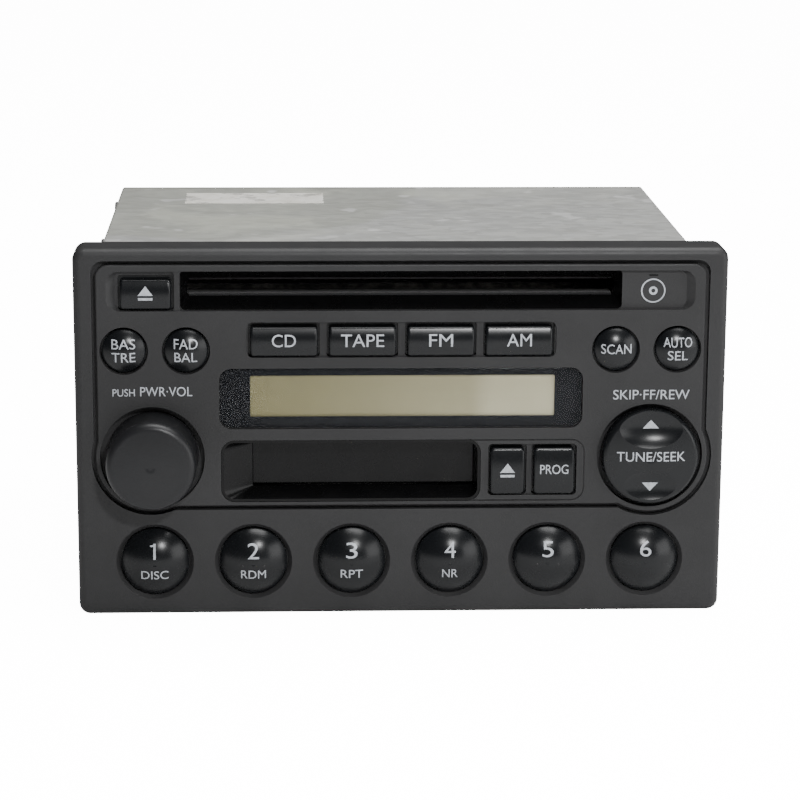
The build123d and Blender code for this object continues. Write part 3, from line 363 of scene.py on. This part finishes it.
def white_acetal():
    return moulded_plastic("white_acetal", colour=(0.74, 0.735, 0.70, 1), worn=(0.80, 0.80, 0.78, 1),
                           level=0.38, swing=0.06, grain_size=1800.0, grain_depth=0.012 * MM,
                           edge_radius=0.3 * MM, edge_amount=0.3, dust=0.35)


def black_zinc():
    return moulded_plastic("black_zinc", colour=(0.020, 0.020, 0.019, 1), worn=(0.16, 0.155, 0.14, 1),
                           level=0.36, swing=0.08, grain_size=2600.0, grain_depth=0.01 * MM,
                           edge_radius=0.25 * MM, edge_amount=0.7, dust=0.1, specular=0.8)


def black_rubber():
    return moulded_plastic("black_rubber", colour=(0.014, 0.014, 0.014, 1), worn=(0.04, 0.04, 0.04, 1),
                           level=0.72, swing=0.06, grain_size=1500.0, grain_depth=0.04 * MM,
                           edge_radius=0.4 * MM, edge_amount=0.6, dust=0.4, specular=0.3)


def felt():
    """Short black fibres pressed into a mat."""
    material, tree, shader = new_material("felt")
    along = noise(tree, object_place(tree, (1, 1, 3)), 4200.0, 4.0, 0.7, 1.2)
    across = noise(tree, object_place(tree, (3, 1, 1)), 3600.0, 4.0, 0.7, 1.2)
    fibres = maths(tree, "MULTIPLY", maths(tree, "ADD", along, across), 0.5)
    lit = ramp(tree, fibres, 0.4, 0.62)
    pile = blend_colour(tree, lit, (0.004, 0.004, 0.0045, 1), (0.016, 0.016, 0.017, 1))
    join(tree, pile, shader, "Base Color")
    shader.inputs["Roughness"].default_value = 1.0
    shader.inputs["Sheen Weight"].default_value = 0.08
    bump(tree, shader, fibres, 0.12 * MM)
    return material


# ---------------------------------------------------------------- display
def smoked_lens():
    """Clear grey acrylic: its faces only darken and reflect, so what lies behind stays crisp."""
    material, tree, shader = new_material("smoked_lens")
    marks = effect(tree, SMUDGES, Scale=70.0, Level=0.09, Swing=0.04)
    hair = effect(tree, SCRATCHES, Scale=140.0, Amount=0.5)
    dusty = effect(tree, DUST, Amount=0.5, Corner=0.0015)
    join(tree, maths(tree, "ADD", marks["Roughness"], maths(tree, "MULTIPLY", hair["Mask"], 0.2), True),
         shader, "Roughness")
    join(tree, blend_colour(tree, dusty["Mask"], (0.006, 0.007, 0.009, 1), (0.06, 0.058, 0.052, 1)),
         shader, "Base Color")
    join(tree, maths(tree, "ADD", 0.15, maths(tree, "MULTIPLY", dusty["Mask"], 0.2), True), shader, "Alpha")
    shader.inputs["Specular IOR Level"].default_value = 0.26
    bump(tree, shader, noise(tree, object_place(tree), 45.0, 2.0), 0.03 * MM)
    return material


def liquid_crystal():
    """The unlit display: olive beige with painted light that pales it towards the right, painted shade that
    darkens its paler part towards the top, and a trace of the cell's electrodes.
    """
    material, tree, shader = new_material("liquid_crystal")
    crystal_low, crystal_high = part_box("lcd_panel")
    across = add(tree, "SeparateXYZ", n0=add(tree, "TexCoord").outputs["Object"]).outputs
    width = crystal_high.x - crystal_low.x
    # painted light: the crystal is paler towards the right, with a brighter step at about three quarters of
    # its width
    drift = ramp(tree, across["X"], crystal_low.x, crystal_high.x, 0.0, 0.6)
    step = ramp(tree, across["X"], crystal_low.x + 0.70 * width, crystal_low.x + 0.78 * width, 0.0, 0.4)
    pale = maths(tree, "ADD", drift, step, True)
    # painted shade: towards the top the colour is pulled a quarter of the way to a darker olive
    up = ramp(tree, across["Z"], crystal_low.z, crystal_high.z)
    base = blend_colour(tree, pale, (0.27, 0.243, 0.108, 1), (0.70, 0.66, 0.46, 1))
    lit = blend_colour(tree, maths(tree, "MULTIPLY", up, 0.25), base, (0.34, 0.315, 0.18, 1))
    columns = add(tree, "TexWave", {"bands_direction": "X"}, Vector=object_place(tree), Scale=230.0,
                  Distortion=0.0).outputs["Fac"]
    cell = ramp(tree, columns, 0.9, 1.0, 0.0, 0.05)
    cloud = ramp(tree, noise(tree, object_place(tree), 60.0, 3.0), 0.3, 0.7, 0.0, 0.12)
    etched = blend_colour(tree, maths(tree, "ADD", cell, cloud, True), lit, (0.28, 0.255, 0.15, 1))
    join(tree, etched, shader, "Base Color")
    frost = noise(tree, object_place(tree), 900.0, 2.0)
    join(tree, ramp(tree, frost, 0.3, 0.7, 0.42, 0.55), shader, "Roughness")
    return material


def screen_print():
    """Flat black ink behind the glass."""
    material, tree, shader = new_material("screen_print")
    mottle = noise(tree, object_place(tree), 800.0, 3.0)
    ink = blend_colour(tree, mottle, (0.0060, 0.0068, 0.0086, 1), (0.0085, 0.0095, 0.0115, 1))
    join(tree, ink, shader, "Base Color")
    join(tree, ramp(tree, mottle, 0.3, 0.7, 0.5, 0.65), shader, "Roughness")
    shader.inputs["Specular IOR Level"].default_value = 0.2
    return material


def legend_ink():
    """Pale printed legends, thinned a little by use."""
    material, tree, shader = new_material("legend_ink")
    thin = ramp(tree, noise(tree, object_place(tree), 900.0, 4.0, 0.65), 0.32, 0.6)
    patch = ramp(tree, noise(tree, object_place(tree), 130.0, 2.0), 0.3, 0.7, 0.85, 1.0)
    cover = maths(tree, "MULTIPLY", maths(tree, "ADD", maths(tree, "MULTIPLY", thin, 0.3), 0.7), patch, True)
    ink = blend_colour(tree, cover, (0.12, 0.125, 0.135, 1), (0.38, 0.40, 0.43, 1))
    join(tree, ink, shader, "Base Color")
    join(tree, ramp(tree, thin, 0.0, 1.0, 0.6, 0.42), shader, "Roughness")
    return material


# ---------------------------------------------------------------- metals
def galvanised_sheet():
    """Zinc-plated steel: faint spangle, greenish stains, rolled streaks, smears, a tide mark, a darker band
    along the rear edge, scratches, bright rubbed edges and a little dust.
    """
    material, tree, shader = new_material("galvanised_sheet")
    place = object_place(tree)
    flakes = add(tree, "TexVoronoi", Vector=object_place(tree, (1, 1.7, 1)), Scale=240.0).outputs["Color"]
    flake = add(tree, "SeparateColor", n0=flakes).outputs[0]
    rolled = noise(tree, object_place(tree, (0.06, 1.0, 1.0)), 420.0, 3.0, 0.6)
    stain = ramp(tree, noise(tree, place, 17.0, 4.0, 0.55, 0.8), 0.46, 0.70)
    wiped = object_place(tree, (0.5, 1.6, 1.0), (0.2, 0, 0))
    smear = ramp(tree, noise(tree, wiped, 30.0, 3.0, 0.6), 0.55, 0.78)
    hair = effect(tree, SCRATCHES, Scale=60.0, Amount=0.7)
    edges = effect(tree, EDGES, Radius=0.6 * MM, Amount=0.8)
    dusty = effect(tree, DUST, Amount=0.22, Corner=0.006)
    zinc = blend_colour(tree, flake, (0.42, 0.425, 0.41, 1), (0.48, 0.485, 0.472, 1))
    zinc = blend_colour(tree, maths(tree, "MULTIPLY", rolled, 0.35), zinc, (0.40, 0.405, 0.395, 1))
    zinc = blend_colour(tree, maths(tree, "MULTIPLY", stain, 0.55), zinc, (0.345, 0.352, 0.295, 1))
    zinc = blend_colour(tree, maths(tree, "MULTIPLY", smear, 0.4), zinc, (0.30, 0.30, 0.275, 1))
    spot = add(tree, "VectorMath", {"operation": "DISTANCE"}, n0=object_place(tree, (1, 0.62, 1)),
               n1=(LID_LOW.x + 30 * MM, LID_HIGH.y * 0.62 + 6 * MM, LID_HIGH.z)).outputs["Value"]
    ragged = maths(tree, "ADD", spot, maths(tree, "MULTIPLY", noise(tree, place, 40.0, 3.0), 0.02))
    tide = ramp(tree, ragged, 0.084, 0.078)
    depth = add(tree, "SeparateXYZ", n0=place).outputs["Y"]
    back_edge = ramp(tree, depth, LID_HIGH.y - 5 * MM, LID_HIGH.y - 1 * MM)
    zinc = blend_colour(tree, maths(tree, "MULTIPLY", tide, 0.45), zinc, (0.36, 0.372, 0.31, 1))
    zinc = blend_colour(tree, maths(tree, "MULTIPLY", back_edge, 0.55), zinc, (0.20, 0.205, 0.17, 1))
    zinc = blend_colour(tree, hair["Mask"], zinc, (0.66, 0.66, 0.65, 1))
    zinc = blend_colour(tree, edges["Mask"], zinc, (0.70, 0.70, 0.69, 1))
    zinc = blend_colour(tree, dusty["Mask"], zinc, (0.42, 0.40, 0.36, 1))
    join(tree, zinc, shader, "Base Color")
    join(tree, ramp(tree, stain, 0.0, 1.0, 0.55, 0.4), shader, "Metallic")
    rough = maths(tree, "ADD", maths(tree, "MULTIPLY", flake, 0.07), maths(tree, "MULTIPLY", stain, 0.12))
    join(tree, maths(tree, "ADD", rough, 0.40, True), shader, "Roughness")
    height = maths(tree, "ADD", maths(tree, "MULTIPLY", rolled, 0.5), maths(tree, "MULTIPLY", flake, 0.2))
    bump(tree, shader, height, 0.02 * MM)
    return material


def worked_metal(name, colour, dark, rough, streaks, depth, tarnish):
    """Bare metal with tool marks running across the stretched axis, tarnish and bright rubbed edges."""
    material, tree, shader = new_material(name)
    marks = noise(tree, object_place(tree, streaks), 900.0, 3.0, 0.6)
    aged = ramp(tree, noise(tree, object_place(tree), 120.0, 4.0, 0.6), 0.4, 0.75, 0.0, tarnish)
    edges = effect(tree, EDGES, Radius=0.35 * MM, Amount=0.7)
    bright = [min(1.0, c * 1.25) for c in colour[:3]] + [1.0]
    body = blend_colour(tree, aged, colour, dark)
    join(tree, blend_colour(tree, edges["Mask"], body, bright), shader, "Base Color")
    join(tree, maths(tree, "ADD", rough, maths(tree, "MULTIPLY", aged, 0.3), True), shader, "Roughness")
    shader.inputs["Metallic"].default_value = 1.0
    bump(tree, shader, marks, depth)
    return material


def heat_sink_aluminium():
    return worked_metal("heat_sink_aluminium", colour=(0.62, 0.625, 0.63, 1), dark=(0.36, 0.36, 0.35, 1),
                        rough=0.34, streaks=(1.0, 1.0, 0.04), depth=0.02 * MM, tarnish=0.6)


def bright_steel():
    return worked_metal("bright_steel", colour=(0.55, 0.55, 0.54, 1), dark=(0.28, 0.27, 0.25, 1),
                        rough=0.27, streaks=(1.0, 1.0, 0.3), depth=0.01 * MM, tarnish=0.6)


def brass_turned():
    return worked_metal("brass_turned", colour=(0.62, 0.44, 0.19, 1), dark=(0.30, 0.19, 0.08, 1),
                        rough=0.25, streaks=(1.0, 1.0, 0.2), depth=0.01 * MM, tarnish=0.7)


def board_laminate():
    """Green solder mask over copper tracks, with tinned pads."""
    material, tree, shader = new_material("board_laminate")
    lanes = add(tree, "TexBrick", {"offset": 0.37}, Vector=object_place(tree), Scale=170.0, Mortar_Size=0.035,
                Mortar_Smooth=0.2).outputs["Fac"]
    flow = add(tree, "TexVoronoi", {"feature": "DISTANCE_TO_EDGE", "distance": "EUCLIDEAN"},
               Vector=object_place(tree), Scale=150.0).outputs["Distance"]
    tracks = maths(tree, "MAXIMUM", lanes, ramp(tree, flow, 0.07, 0.03))
    spots = add(tree, "TexVoronoi", Vector=object_place(tree), Scale=340.0).outputs["Distance"]
    pads = ramp(tree, spots, 0.2, 0.12)
    mottle = noise(tree, object_place(tree), 700.0, 3.0)
    mask = blend_colour(tree, mottle, (0.018, 0.070, 0.032, 1), (0.026, 0.090, 0.042, 1))
    traced = blend_colour(tree, maths(tree, "MULTIPLY", tracks, 0.7), mask, (0.055, 0.16, 0.06, 1))
    tinned = blend_colour(tree, pads, traced, (0.55, 0.54, 0.50, 1))
    join(tree, tinned, shader, "Base Color")
    join(tree, maths(tree, "MULTIPLY", pads, 0.9), shader, "Metallic")
    join(tree, ramp(tree, mottle, 0.3, 0.7, 0.26, 0.38), shader, "Roughness")
    bump(tree, shader, maths(tree, "ADD", tracks, pads), 0.03 * MM)
    return material


def aged_paper():
    """A blank paper label, yellowed, stained and scuffed until the glue shows."""
    material, tree, shader = new_material("aged_paper")
    fibres = noise(tree, object_place(tree, (0.5, 1, 1)), 1600.0, 4.0, 0.6)
    one_patch = object_place(tree, (1, 1, 1), (0.4, 0, 0))
    other_patch = object_place(tree, (1, 1, 1), (0.7, 0, 0))
    stained = ramp(tree, noise(tree, one_patch, 75.0, 5.0, 0.65, 0.5), 0.42, 0.72)
    scuffed = ramp(tree, noise(tree, other_patch, 130.0, 5.0, 0.7), 0.52, 0.62)
    paper = blend_colour(tree, fibres, (0.50, 0.49, 0.455, 1), (0.60, 0.59, 0.555, 1))
    paper = blend_colour(tree, maths(tree, "MULTIPLY", stained, 0.7), paper, (0.36, 0.34, 0.28, 1))
    paper = blend_colour(tree, maths(tree, "MULTIPLY", scuffed, 0.75), paper, (0.22, 0.215, 0.20, 1))
    join(tree, paper, shader, "Base Color")
    join(tree, ramp(tree, fibres, 0.3, 0.7, 0.75, 0.95), shader, "Roughness")
    bump(tree, shader, maths(tree, "ADD", fibres, maths(tree, "MULTIPLY", scuffed, -1.0)), 0.05 * MM)
    return material


# ---------------------------------------------------------------- finishes on the frame's own parts
FINISHES = {
    "face_plastic": face_plastic(), "button_gloss": button_gloss(), "knob_satin": knob_satin(),
    "black_lining": black_lining(), "felt": felt(), "smoked_lens": smoked_lens(),
    "liquid_crystal": liquid_crystal(), "galvanised_sheet": galvanised_sheet(),
    "heat_sink_aluminium": heat_sink_aluminium(), "board_laminate": board_laminate(),
    "black_components": black_components(), "bright_steel": bright_steel(), "brass_turned": brass_turned(),
    "black_rubber": black_rubber(), "black_zinc": black_zinc(), "black_moulding": black_moulding(),
    "white_acetal": white_acetal(),
}
INK = legend_ink()

for subpart in frame["record"]["subparts"]:
    for place in nodes[subpart["node"]].material_slots:
        place.material = FINISHES[subpart["material_slot"]]


# ---------------------------------------------------------------- printed legends
def lay_on(piece, node, cuts):
    """Divides a flat print, lays it on the part behind it and gives it the thickness of ink."""
    edit(piece)
    bpy.ops.mesh.remove_doubles(threshold=1e-7)
    bpy.ops.mesh.quads_convert_to_tris()
    if cuts:
        bpy.ops.mesh.subdivide(number_cuts=cuts)
    end_edit()
    modify(piece, "SHRINKWRAP", target=nodes[node], wrap_method="PROJECT", use_project_y=True,
           use_positive_direction=True, use_negative_direction=False, wrap_mode="ABOVE_SURFACE",
           offset=PRINT_LIFT)
    modify(piece, "SOLIDIFY", thickness=PRINT_T, offset=-1.0)


def flat_size(piece):
    """Lowest and highest x and y of a flat print before it is stood up."""
    xs = [v.co.x for v in piece.data.vertices]
    ys = [v.co.y for v in piece.data.vertices]
    return min(xs), max(xs), min(ys), max(ys)


def stand_up(piece, x, z, width, height):
    """Scales a flat print to its size and stands it in front of the face, centred on x and z."""
    x0, x1, y0, y1 = flat_size(piece)
    wide = width / (x1 - x0)
    tall = height / (y1 - y0)
    piece.rotation_euler = (math.pi / 2, 0, 0)
    piece.scale = (wide, tall, 1)
    front = cad_box[0].y - 5 * MM
    piece.location = (x - (x0 + x1) / 2 * wide, front, z - (y0 + y1) / 2 * tall)
    settle(piece)


def legend(name, words, node, x, z, width, height, body="chassis", cuts=1):
    deselect()
    bpy.ops.object.text_add()
    piece = bpy.context.object
    piece.data.body = words
    piece.data.resolution_u = 5
    only(piece)
    bpy.ops.object.convert(target="MESH")
    piece = bpy.context.object
    stand_up(piece, x, z, width, height)
    lay_on(piece, node, cuts)
    return finish_piece(piece, name, body, INK)


def print_shape(name, corners, node, x, z, width, height, turn=0.0, body="chassis", cuts=2):
    """A printed polygon: three corners for an arrow, four for a bar, many for a disc."""
    deselect()
    bpy.ops.mesh.primitive_circle_add(vertices=corners, radius=1.0, fill_type="NGON", rotation=(0, 0, turn))
    piece = bpy.context.object
    settle(piece)
    stand_up(piece, x, z, width, height)
    lay_on(piece, node, cuts)
    return finish_piece(piece, name, body, INK)


def arrow(name, node, x, z, width, height, up=True, body="chassis"):
    return print_shape(name, 3, node, x, z, width, height, 0.0 if up else math.pi, body, 3)


def bar(name, node, x, z, width, height, body="chassis"):
    return print_shape(name, 4, node, x, z, width, height, math.pi / 4, body, 3)


def eject_sign(node, width):
    """A triangle over a bar, in the middle of a button."""
    place = middle(node) + Vector((0, 0, 0.1 * MM))
    arrow(f"{node}_arrow", node, place.x, place.z + width * 0.15, width, width * 0.64, True, node)
    bar(f"{node}_bar", node, place.x, place.z - width * 0.40, width * 0.95, width * 0.17, node)


def ring(name, node, x, z, outer, inner, body="chassis"):
    """A printed ring, inset from a filled disc."""
    deselect()
    bpy.ops.mesh.primitive_circle_add(vertices=48, radius=outer, fill_type="NGON")
    piece = bpy.context.object
    edit(piece)
    bpy.ops.mesh.inset(thickness=outer - inner, depth=0)
    bpy.ops.mesh.delete(type="FACE")
    end_edit()
    stand_up(piece, x, z, 2 * outer, 2 * outer)
    lay_on(piece, node, 0)
    return finish_piece(piece, name, body, INK)


LETTER_H = 3.7 * MM
LINE_H = 2.85 * MM
LINE_PITCH = 3.9 * MM
FIRST_OF_TWO = 2.3 * MM
ONLY_LINE = 0.4 * MM

# source buttons
for node, words, width in (("source_button_cd", "CD", 7.0), ("source_button_tape", "TAPE", 12.6),
                           ("source_button_fm", "FM", 7.0), ("source_button_am", "AM", 7.3)):
    place = middle(node)
    legend(f"{node}_legend", words, node, place.x, place.z, width * MM, LETTER_H, node, 4)

# round buttons: one or two lines
for node, lines in (("bass_treble_button", (("BAS", 6.9), ("TRE", 6.9))),
                    ("fade_balance_button", (("FAD", 6.9), ("BAL", 6.6))),
                    ("scan_button", (("SCAN", 8.9),)),
                    ("auto_select_button", (("AUTO", 8.4), ("SEL", 5.9)))):
    place = middle(node)
    first = FIRST_OF_TWO if len(lines) == 2 else ONLY_LINE
    for i, (words, width) in enumerate(lines):
        legend(f"{node}_legend_{i + 1}", words, node, place.x, place.z + first - i * LINE_PITCH, width * MM,
               LINE_H, node, 2)

# presets: the number, and a second function under some
SECOND = ("DISC", "RDM", "RPT", "NR", "", "")
SECOND_W = (8.0, 7.35, 6.6, 4.6, 0, 0)
SECOND_H = 2.65 * MM
SECOND_DROP = 3.1 * MM
NUMBER_W = 3.35 * MM
NUMBER_H = 4.5 * MM
NUMBER_RISE = 4.0 * MM
ONE_STEM = 0.7 * MM
FLAG_W = 1.5 * MM
FLAG_H = 0.6 * MM
for i, node in enumerate(PRESETS):
    place = middle(node)
    number_z = place.z + NUMBER_RISE
    number_w = ONE_STEM if i == 0 else NUMBER_W
    figure = "l" if i == 0 else str(i + 1)
    legend(f"{node}_number", figure, node, place.x, number_z, number_w, NUMBER_H, node, 2)
    if i == 0:
        print_shape("preset_button_1_flag", 4, node, place.x - FLAG_W / 2, number_z + NUMBER_H * 0.36, FLAG_W,
                    FLAG_H, math.pi / 4 + 0.5, node, 2)
    if SECOND[i]:
        legend(f"{node}_legend", SECOND[i], node, place.x, place.z - SECOND_DROP, SECOND_W[i] * MM, SECOND_H,
               node, 2)

# face legends
VOLUME = middle("volume_knob")
TUNE = middle("tune_seek_rocker")
legend("push_legend", "PUSH", "centre_panel", VOLUME.x - 8.1 * MM, FACE_BOTTOM + 68.0 * MM, 6.5 * MM,
       2.2 * MM)
legend("power_volume_legend", "PWR·VOL", "centre_panel", VOLUME.x + 4.3 * MM, FACE_BOTTOM + 68.3 * MM,
       15.2 * MM, 2.8 * MM)
legend("skip_legend", "SKIP·FF/REW", "centre_panel", TUNE.x + 0.1 * MM, FACE_BOTTOM + 66.8 * MM, 22.6 * MM,
       2.9 * MM)
legend("tune_seek_legend", "TUNE/SEEK", "tune_seek_rocker", TUNE.x, TUNE.z + 0.6 * MM, 20.3 * MM, 2.9 * MM,
       "tune_seek_rocker", 2)
arrow("tune_up_arrow", "tune_seek_rocker", TUNE.x, TUNE.z + 9.9 * MM, 4.8 * MM, 2.6 * MM, True,
      "tune_seek_rocker")
arrow("tune_down_arrow", "tune_seek_rocker", TUNE.x, TUNE.z - 8.9 * MM, 4.8 * MM, 2.6 * MM, False,
      "tune_seek_rocker")
place = middle("program_button")
legend("program_legend", "PROG", "program_button", place.x, place.z + 0.3 * MM, 8.4 * MM, 2.8 * MM,
       "program_button")
eject_sign("cd_eject_button", 4.4 * MM)
eject_sign("tape_eject_button", 4.4 * MM)

# a plain disc sign on the plate at the slot's right end, with a short dark mark over it
SIGN_X = (SLOT_END + high("centre_panel").x) / 2 - 3.9 * MM
SIGN_Z = middle("disc_slot_felts").z - 0.4 * MM
ring("disc_sign_rim", "centre_panel", SIGN_X, SIGN_Z, 3.6 * MM, 3.2 * MM)
ring("disc_sign_hub", "centre_panel", SIGN_X, SIGN_Z, 1.25 * MM, 0.6 * MM)
mark = bar("disc_sign_slot", "centre_panel", SIGN_X, SIGN_Z + 4.6 * MM, 2.6 * MM, 0.5 * MM)
finish_piece(mark, "disc_sign_slot", "chassis", FINISHES["black_lining"])


# ---------------------------------------------------------------- tactile pips
PIP_X = 3.2 * MM
PIP_DROP = 0.5 * MM


def pip(name, node, x, z):
    """A low moulded dot that a finger can find on a preset."""
    deselect()
    bpy.ops.mesh.primitive_circle_add(vertices=20, radius=0.36 * MM, fill_type="NGON")
    piece = bpy.context.object
    edit(piece)
    bpy.ops.mesh.inset(thickness=0.12 * MM, depth=0.10 * MM)
    bpy.ops.mesh.inset(thickness=0.12 * MM, depth=0.05 * MM)
    end_edit()
    x0, x1, z0, z1 = flat_size(piece)
    piece.rotation_euler = (math.pi / 2, 0, 0)
    hit, spot, normal, _ = nodes[node].ray_cast(Vector((x, cad_box[0].y - 5 * MM, z)), Vector((0, 1, 0)))
    lean = Vector((0, -1, 0)).rotation_difference(normal)
    piece.rotation_mode = "QUATERNION"
    piece.rotation_quaternion = lean @ Matrix.Rotation(math.pi / 2, 3, "X").to_quaternion()
    piece.location = spot - normal * 0.03 * MM
    settle(piece)
    outwards(piece)
    only(piece)
    bpy.ops.object.shade_smooth()
    return finish_piece(piece, name, node, FINISHES["face_plastic"])


for node in (PRESETS[1], PRESETS[4]):
    place = middle(node)
    for side in (-1, 1):
        which = "left" if side < 0 else "right"
        pip(f"{node}_pip_{which}", node, place.x + side * PIP_X, place.z - PIP_DROP)


# ---------------------------------------------------------------- display glass and mask
def rounded_plate(width, height, thickness, radius, x, y_front, z, steps=10):
    """An upright plate with rounded corners, its front at y_front."""
    deselect()
    bpy.ops.mesh.primitive_plane_add(size=1)
    piece = bpy.context.object
    piece.scale = (width, height, 1)
    settle(piece)
    edit(piece)
    bpy.ops.mesh.bevel(offset=radius, segments=steps, affect="VERTICES")
    bpy.ops.mesh.extrude_region_move(TRANSFORM_OT_translate={"value": (0, 0, -thickness)})
    end_edit()
    piece.rotation_euler = (math.pi / 2, 0, 0)
    piece.location = (x, y_front, z)
    settle(piece)
    outwards(piece)
    return piece


def front_edges(piece, y_front):
    """Selects, in edit mode, the edges that lie in the plate's front face."""
    edit(piece)
    bpy.ops.mesh.select_all(action="DESELECT")
    end_edit()
    flat = {v.index for v in piece.data.vertices if abs(v.co.y - y_front) < 1e-6}
    for edge in piece.data.edges:
        edge.select = edge.vertices[0] in flat and edge.vertices[1] in flat
    bpy.ops.object.mode_set(mode="EDIT")
    bpy.ops.mesh.select_mode(type="EDGE")


def display_glass():
    """The lens with a softly rounded front edge."""
    lens = LENS_HIGH - LENS_LOW
    at = middle("display_lens")
    piece = rounded_plate(lens.x, lens.z, lens.y - 0.14 * MM, 3.5 * MM, at.x, LENS_LOW.y, at.z, 12)
    front_edges(piece, LENS_LOW.y)
    bpy.ops.mesh.bevel(offset=0.35 * MM, segments=3)
    end_edit()
    only(piece)
    bpy.ops.object.shade_smooth_by_angle(angle=math.radians(35))
    finish_piece(piece, "display_glass", "chassis", FINISHES["smoked_lens"])
    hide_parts("display_lens")


WINDOW_W = 89.7 * MM
WINDOW_H = 12.3 * MM
WINDOW_SHIFT = 0.45 * MM
MASK_T = 0.06 * MM


def display_mask():
    """Black print behind the glass, with the window for the crystal."""
    lens = LENS_HIGH - LENS_LOW
    at = middle("display_lens")
    y = LENS_HIGH.y - 0.10 * MM
    piece = rounded_plate(lens.x - 0.4 * MM, lens.z - 0.4 * MM, MASK_T, 3.3 * MM, at.x, y, at.z, 12)
    cutter = rounded_plate(WINDOW_W, WINDOW_H, 4 * MM, 0.5 * MM, at.x + WINDOW_SHIFT, y - 2 * MM,
                           at.z + WINDOW_SHIFT, 6)
    modify(piece, "BOOLEAN", operation="DIFFERENCE", object=cutter, solver="EXACT")
    bpy.data.objects.remove(cutter)
    outwards(piece)
    finish_piece(piece, "display_mask", "chassis", screen_print())


display_glass()
display_mask()


# ---------------------------------------------------------------- paper label on the lid
LABEL_W = 46 * MM
LABEL_D = 22 * MM
LABEL_FROM_LEFT = 45.5 * MM
LABEL_FROM_REAR = 25 * MM
TEAR_DEPTH = 2.4 * MM
TEAR_STEP = 2 * MM
TEARS = 40


def lid_label():
    """A blank label near the lid's rear edge, with torn borders."""
    deselect()
    bpy.ops.mesh.primitive_grid_add(x_subdivisions=92, y_subdivisions=34, size=1)
    piece = bpy.context.object
    piece.scale = (LABEL_W, LABEL_D, 1)
    piece.location = (LID_LOW.x + LABEL_FROM_LEFT, LID_HIGH.y - LABEL_FROM_REAR, LID_HIGH.z + 0.02 * MM)
    settle(piece)
    draw = random.Random(7)
    lows = Vector(map(min, zip(*(v.co for v in piece.data.vertices))))
    highs = Vector(map(max, zip(*(v.co for v in piece.data.vertices))))
    tear = [draw.uniform(0.0, 1.0) ** 3 * TEAR_DEPTH for _ in range(TEARS)]
    for vertex in piece.data.vertices:
        for axis, along in ((0, 1), (1, 0)):
            place_along = int((vertex.co[along] - lows[along]) / TEAR_STEP)
            bite = tear[place_along % TEARS] * (0.25 if axis else 1.0)
            vertex.co[axis] = min(max(vertex.co[axis], lows[axis] + bite), highs[axis] - bite * 0.6)
    edit(piece)
    bpy.ops.mesh.remove_doubles(threshold=1e-7)
    end_edit()
    modify(piece, "SOLIDIFY", thickness=0.08 * MM, offset=1.0)
    outwards(piece)
    finish_piece(piece, "lid_label", "chassis", aged_paper())


lid_label()


# ---------------------------------------------------------------- floor, light and camera
def pale_floor():
    deselect()
    bpy.ops.mesh.primitive_plane_add(size=12, location=(0, 2.0, cad_box[0].z))
    floor = bpy.context.object
    floor.name = "floor"
    material, tree, shader = new_material("pale_floor")
    soft = noise(tree, object_place(tree), 3.0, 2.0)
    join(tree, blend_colour(tree, soft, (0.86, 0.86, 0.86, 1), (0.88, 0.88, 0.88, 1)), shader, "Base Color")
    shader.inputs["Roughness"].default_value = 0.8
    shader.inputs["Emission Color"].default_value = (1, 1, 1, 1)
    seen = add(tree, "LightPath").outputs["Is Camera Ray"]
    join(tree, maths(tree, "MULTIPLY", seen, 14.0), shader, "Emission Strength")
    floor.data.materials.append(material)


def soft_world(strength, seen):
    """An even white room, brighter to the camera than to the object."""
    world = bpy.data.worlds.new("studio")
    bpy.context.scene.world = world
    world.use_nodes = True
    tree = world.node_tree
    back = tree.nodes["Background"]
    back.inputs["Color"].default_value = (1, 1, 1, 1)
    camera_ray = add(tree, "LightPath").outputs["Is Camera Ray"]
    level = add(tree, "MapRange", Value=camera_ray, n3=strength, n4=seen).outputs["Result"]
    tree.links.new(level, back.inputs["Strength"])


def softbox(name, place, aim, width, height, power):
    data = bpy.data.lights.new(name, "AREA")
    data.shape = "RECTANGLE"
    data.size = width
    data.size_y = height
    data.energy = power
    light = bpy.data.objects.new(name, data)
    bpy.context.collection.objects.link(light)
    light.location = place
    light.rotation_euler = (Vector(aim) - Vector(place)).to_track_quat("-Z", "Y").to_euler()


def viewing_camera(place, pitch, yaw, roll, lens):
    """A camera that looks down by pitch, towards +X by yaw, and leans by roll, all in degrees."""
    data = bpy.data.cameras.new("camera")
    data.lens = lens
    data.sensor_width = 36.0
    data.clip_start = 0.01
    camera = bpy.data.objects.new("camera", data)
    bpy.context.collection.objects.link(camera)
    down, across, lean = (math.radians(a) for a in (pitch, yaw, roll))
    ahead = Vector((math.sin(across) * math.cos(down), math.cos(across) * math.cos(down), -math.sin(down)))
    right = Vector((math.cos(across), -math.sin(across), 0))
    up = right.cross(ahead)
    rolled_right = right * math.cos(lean) + up * math.sin(lean)
    rolled_up = up * math.cos(lean) - right * math.sin(lean)
    turn = Matrix((rolled_right, rolled_up, -ahead)).transposed()
    camera.matrix_world = Matrix.Translation(Vector(place)) @ turn.to_4x4()
    bpy.context.scene.camera = camera


pale_floor()
soft_world(0.09, 16.0)
softbox("key", (0.10, -0.55, 0.38), (0, 0, 0.05), 0.062, 0.026, 3.0)
softbox("top", (0.25, -0.02, 1.30), (0.02, 0.02, 0.08), 1.1, 0.8, 30)
softbox("right_fill", (1.1, -0.7, 0.30), (0, -0.07, 0.05), 0.9, 0.7, 8)
viewing_camera((-34.62 * MM, FACE_PLANE - 780.5 * MM, 248.59 * MM), 13.19, 2.51, 0.32, 122.86)
